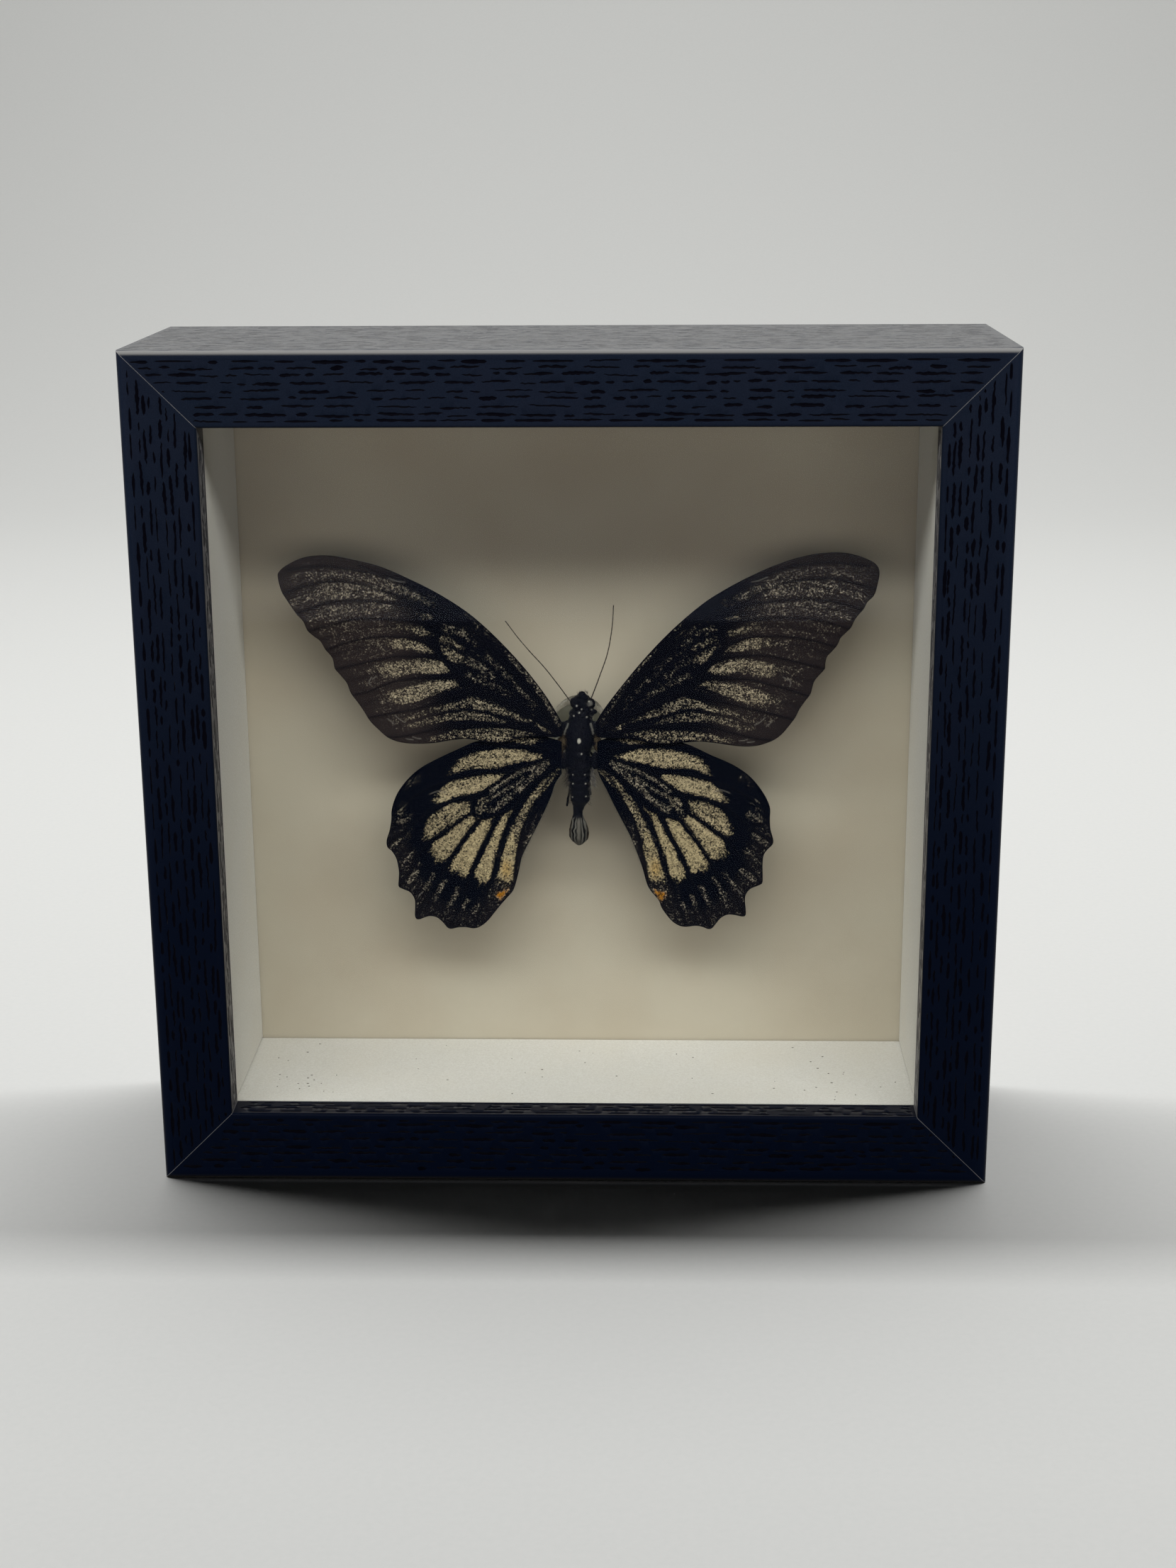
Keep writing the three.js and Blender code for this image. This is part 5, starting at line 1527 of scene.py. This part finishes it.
def addHairs():
    rng = np.random.default_rng(77)
    parts = []

    def hair(root, direction, length, radius, sag):
        direction = direction / np.linalg.norm(direction)
        s = np.linspace(0, 1, 4)[:, None]
        line = root + direction * length * s + np.array(sag) * s ** 2 * length
        parts.append(tubeVertices(line, radius * (1 - 0.85 * s[:, 0]), 3))

    def bunch(count, low, high, aim, length, radius=0.034, sag=(0, 0, 0), spray=0.35):
        for _ in range(count):
            root = rng.uniform(low, high)
            direction = np.array(aim, float) + rng.normal(0, spray, 3)
            hair(root, direction, rng.uniform(0.5, 1) * length, radius * rng.uniform(0.7, 1.2), sag)

    # head and collar
    bunch(150, (-0.9, 26.8, 82.2), (3.2, 27.6, 84.6), (0, -0.8, 0.35), 0.6)
    bunch(60, (0.3, 27, 84.6), (2.3, 27.6, 85.3), (0.1, -0.2, 1), 0.7)
    bunch(110, (-0.9, 26.8, 80.2), (3.2, 27.4, 81.6), (0, -0.7, -0.3), 0.6)
    # sides of the thorax and tufts where the hindwings join
    middle = 0.7
    for side in (-1, 1):
        thorax, tuft, waist = middle + side * 2.7, middle + side * 2.2, middle + side * 1.6
        bunch(110, (thorax - 0.4, 27.2, 73), (thorax + 0.4, 28.2, 79.5), (side, -0.35, -0.2), 0.9)
        bunch(120, (tuft - 0.3, 26.7, 67.6), (tuft + 0.5, 27.8, 71), (side * 0.7, -0.25, -1), 1.7)
        bunch(60, (waist - 0.3, 26.9, 63.8), (waist + 0.3, 27.8, 68), (side, -0.2, -0.7), 0.8)
    # down along the hindwings' inner edges
    for wing, side in ((hindwingLeft, -1), (hindwingRight, 1)):
        line = spline(wing["outline"], 4)
        line = line[(line[:, 1] > 52) & (line[:, 1] < 70.5) & (np.abs(line[:, 0]) < 13)]
        for x, z in evenly(line, 0.12):
            root = np.array([x + side * 0.05, 26.75, z])
            direction = np.array([-side, rng.normal(0, 0.25), -0.9 + rng.normal(0, 0.3)])
            hair(root, direction, rng.uniform(0.25, 0.6), 0.026, (0, 0, -0.1))
    vertices, faces = joinParts(parts)
    fuzz = Surface("body_hair", Roughness=0.55)
    shade = fuzz.noise(0.5, 2, 0.5)
    fuzz.feed("Base Color", fuzz.blend(fuzz.spread(shade, 0.35, 0.65), tone(18, 18, 24), tone(74, 68, 60)))
    addPiece("body_hairs", vertices, faces, fuzz.material)


addBody()
addAntennae()
addHairs()
print("body, antennae and hairs made")


# ---- dust that has settled inside the case

dust = {
    "floorZ": 12.4,         # the upper face of the bottom liner
    "reach": 61,            # the flecks stay this near the middle
    "lift": 0.03,
    "width": (0.06, 0.28),
    "length": (0.05, 0.16),
    "height": 0.05,
    "ragged": 0.02,
}


def addDust():
    rng = np.random.default_rng(5)
    spots = list(zip(rng.uniform(-58, 60, 34), rng.uniform(9, 36, 34)))
    # more of them in the two corners
    spots += [(rng.normal(-50, 5), rng.uniform(10, 20)) for _ in range(12)]
    spots += [(rng.normal(50, 4), rng.uniform(9, 34)) for _ in range(8)]
    parts = []
    for x, depth in spots:
        half = np.array([rng.uniform(*dust["width"]), rng.uniform(*dust["length"]), dust["height"]])
        place = np.array([np.clip(x, -dust["reach"], dust["reach"]), depth, dust["floorZ"] + dust["lift"]])
        vertices, faces = ballVertices(place, half, 7, 4)
        vertices[:, :2] += rng.normal(0, dust["ragged"], (len(vertices), 2))
        parts.append((vertices, faces))
    vertices, faces = joinParts(parts)
    fleck = Surface("dust_flecks_grey", Roughness=0.9)
    fleck.feed("Base Color", fleck.blend(fleck.noise(3.0), tone(60, 56, 52), tone(120, 114, 104)))
    addPiece("dust_flecks", vertices, faces, fleck.material)


addDust()
print("dust laid")

for piece in scene.objects:
    if piece.type == "MESH" and piece.name not in ("floor_sweep", "black_flag"):
        litPieces.objects.link(piece)
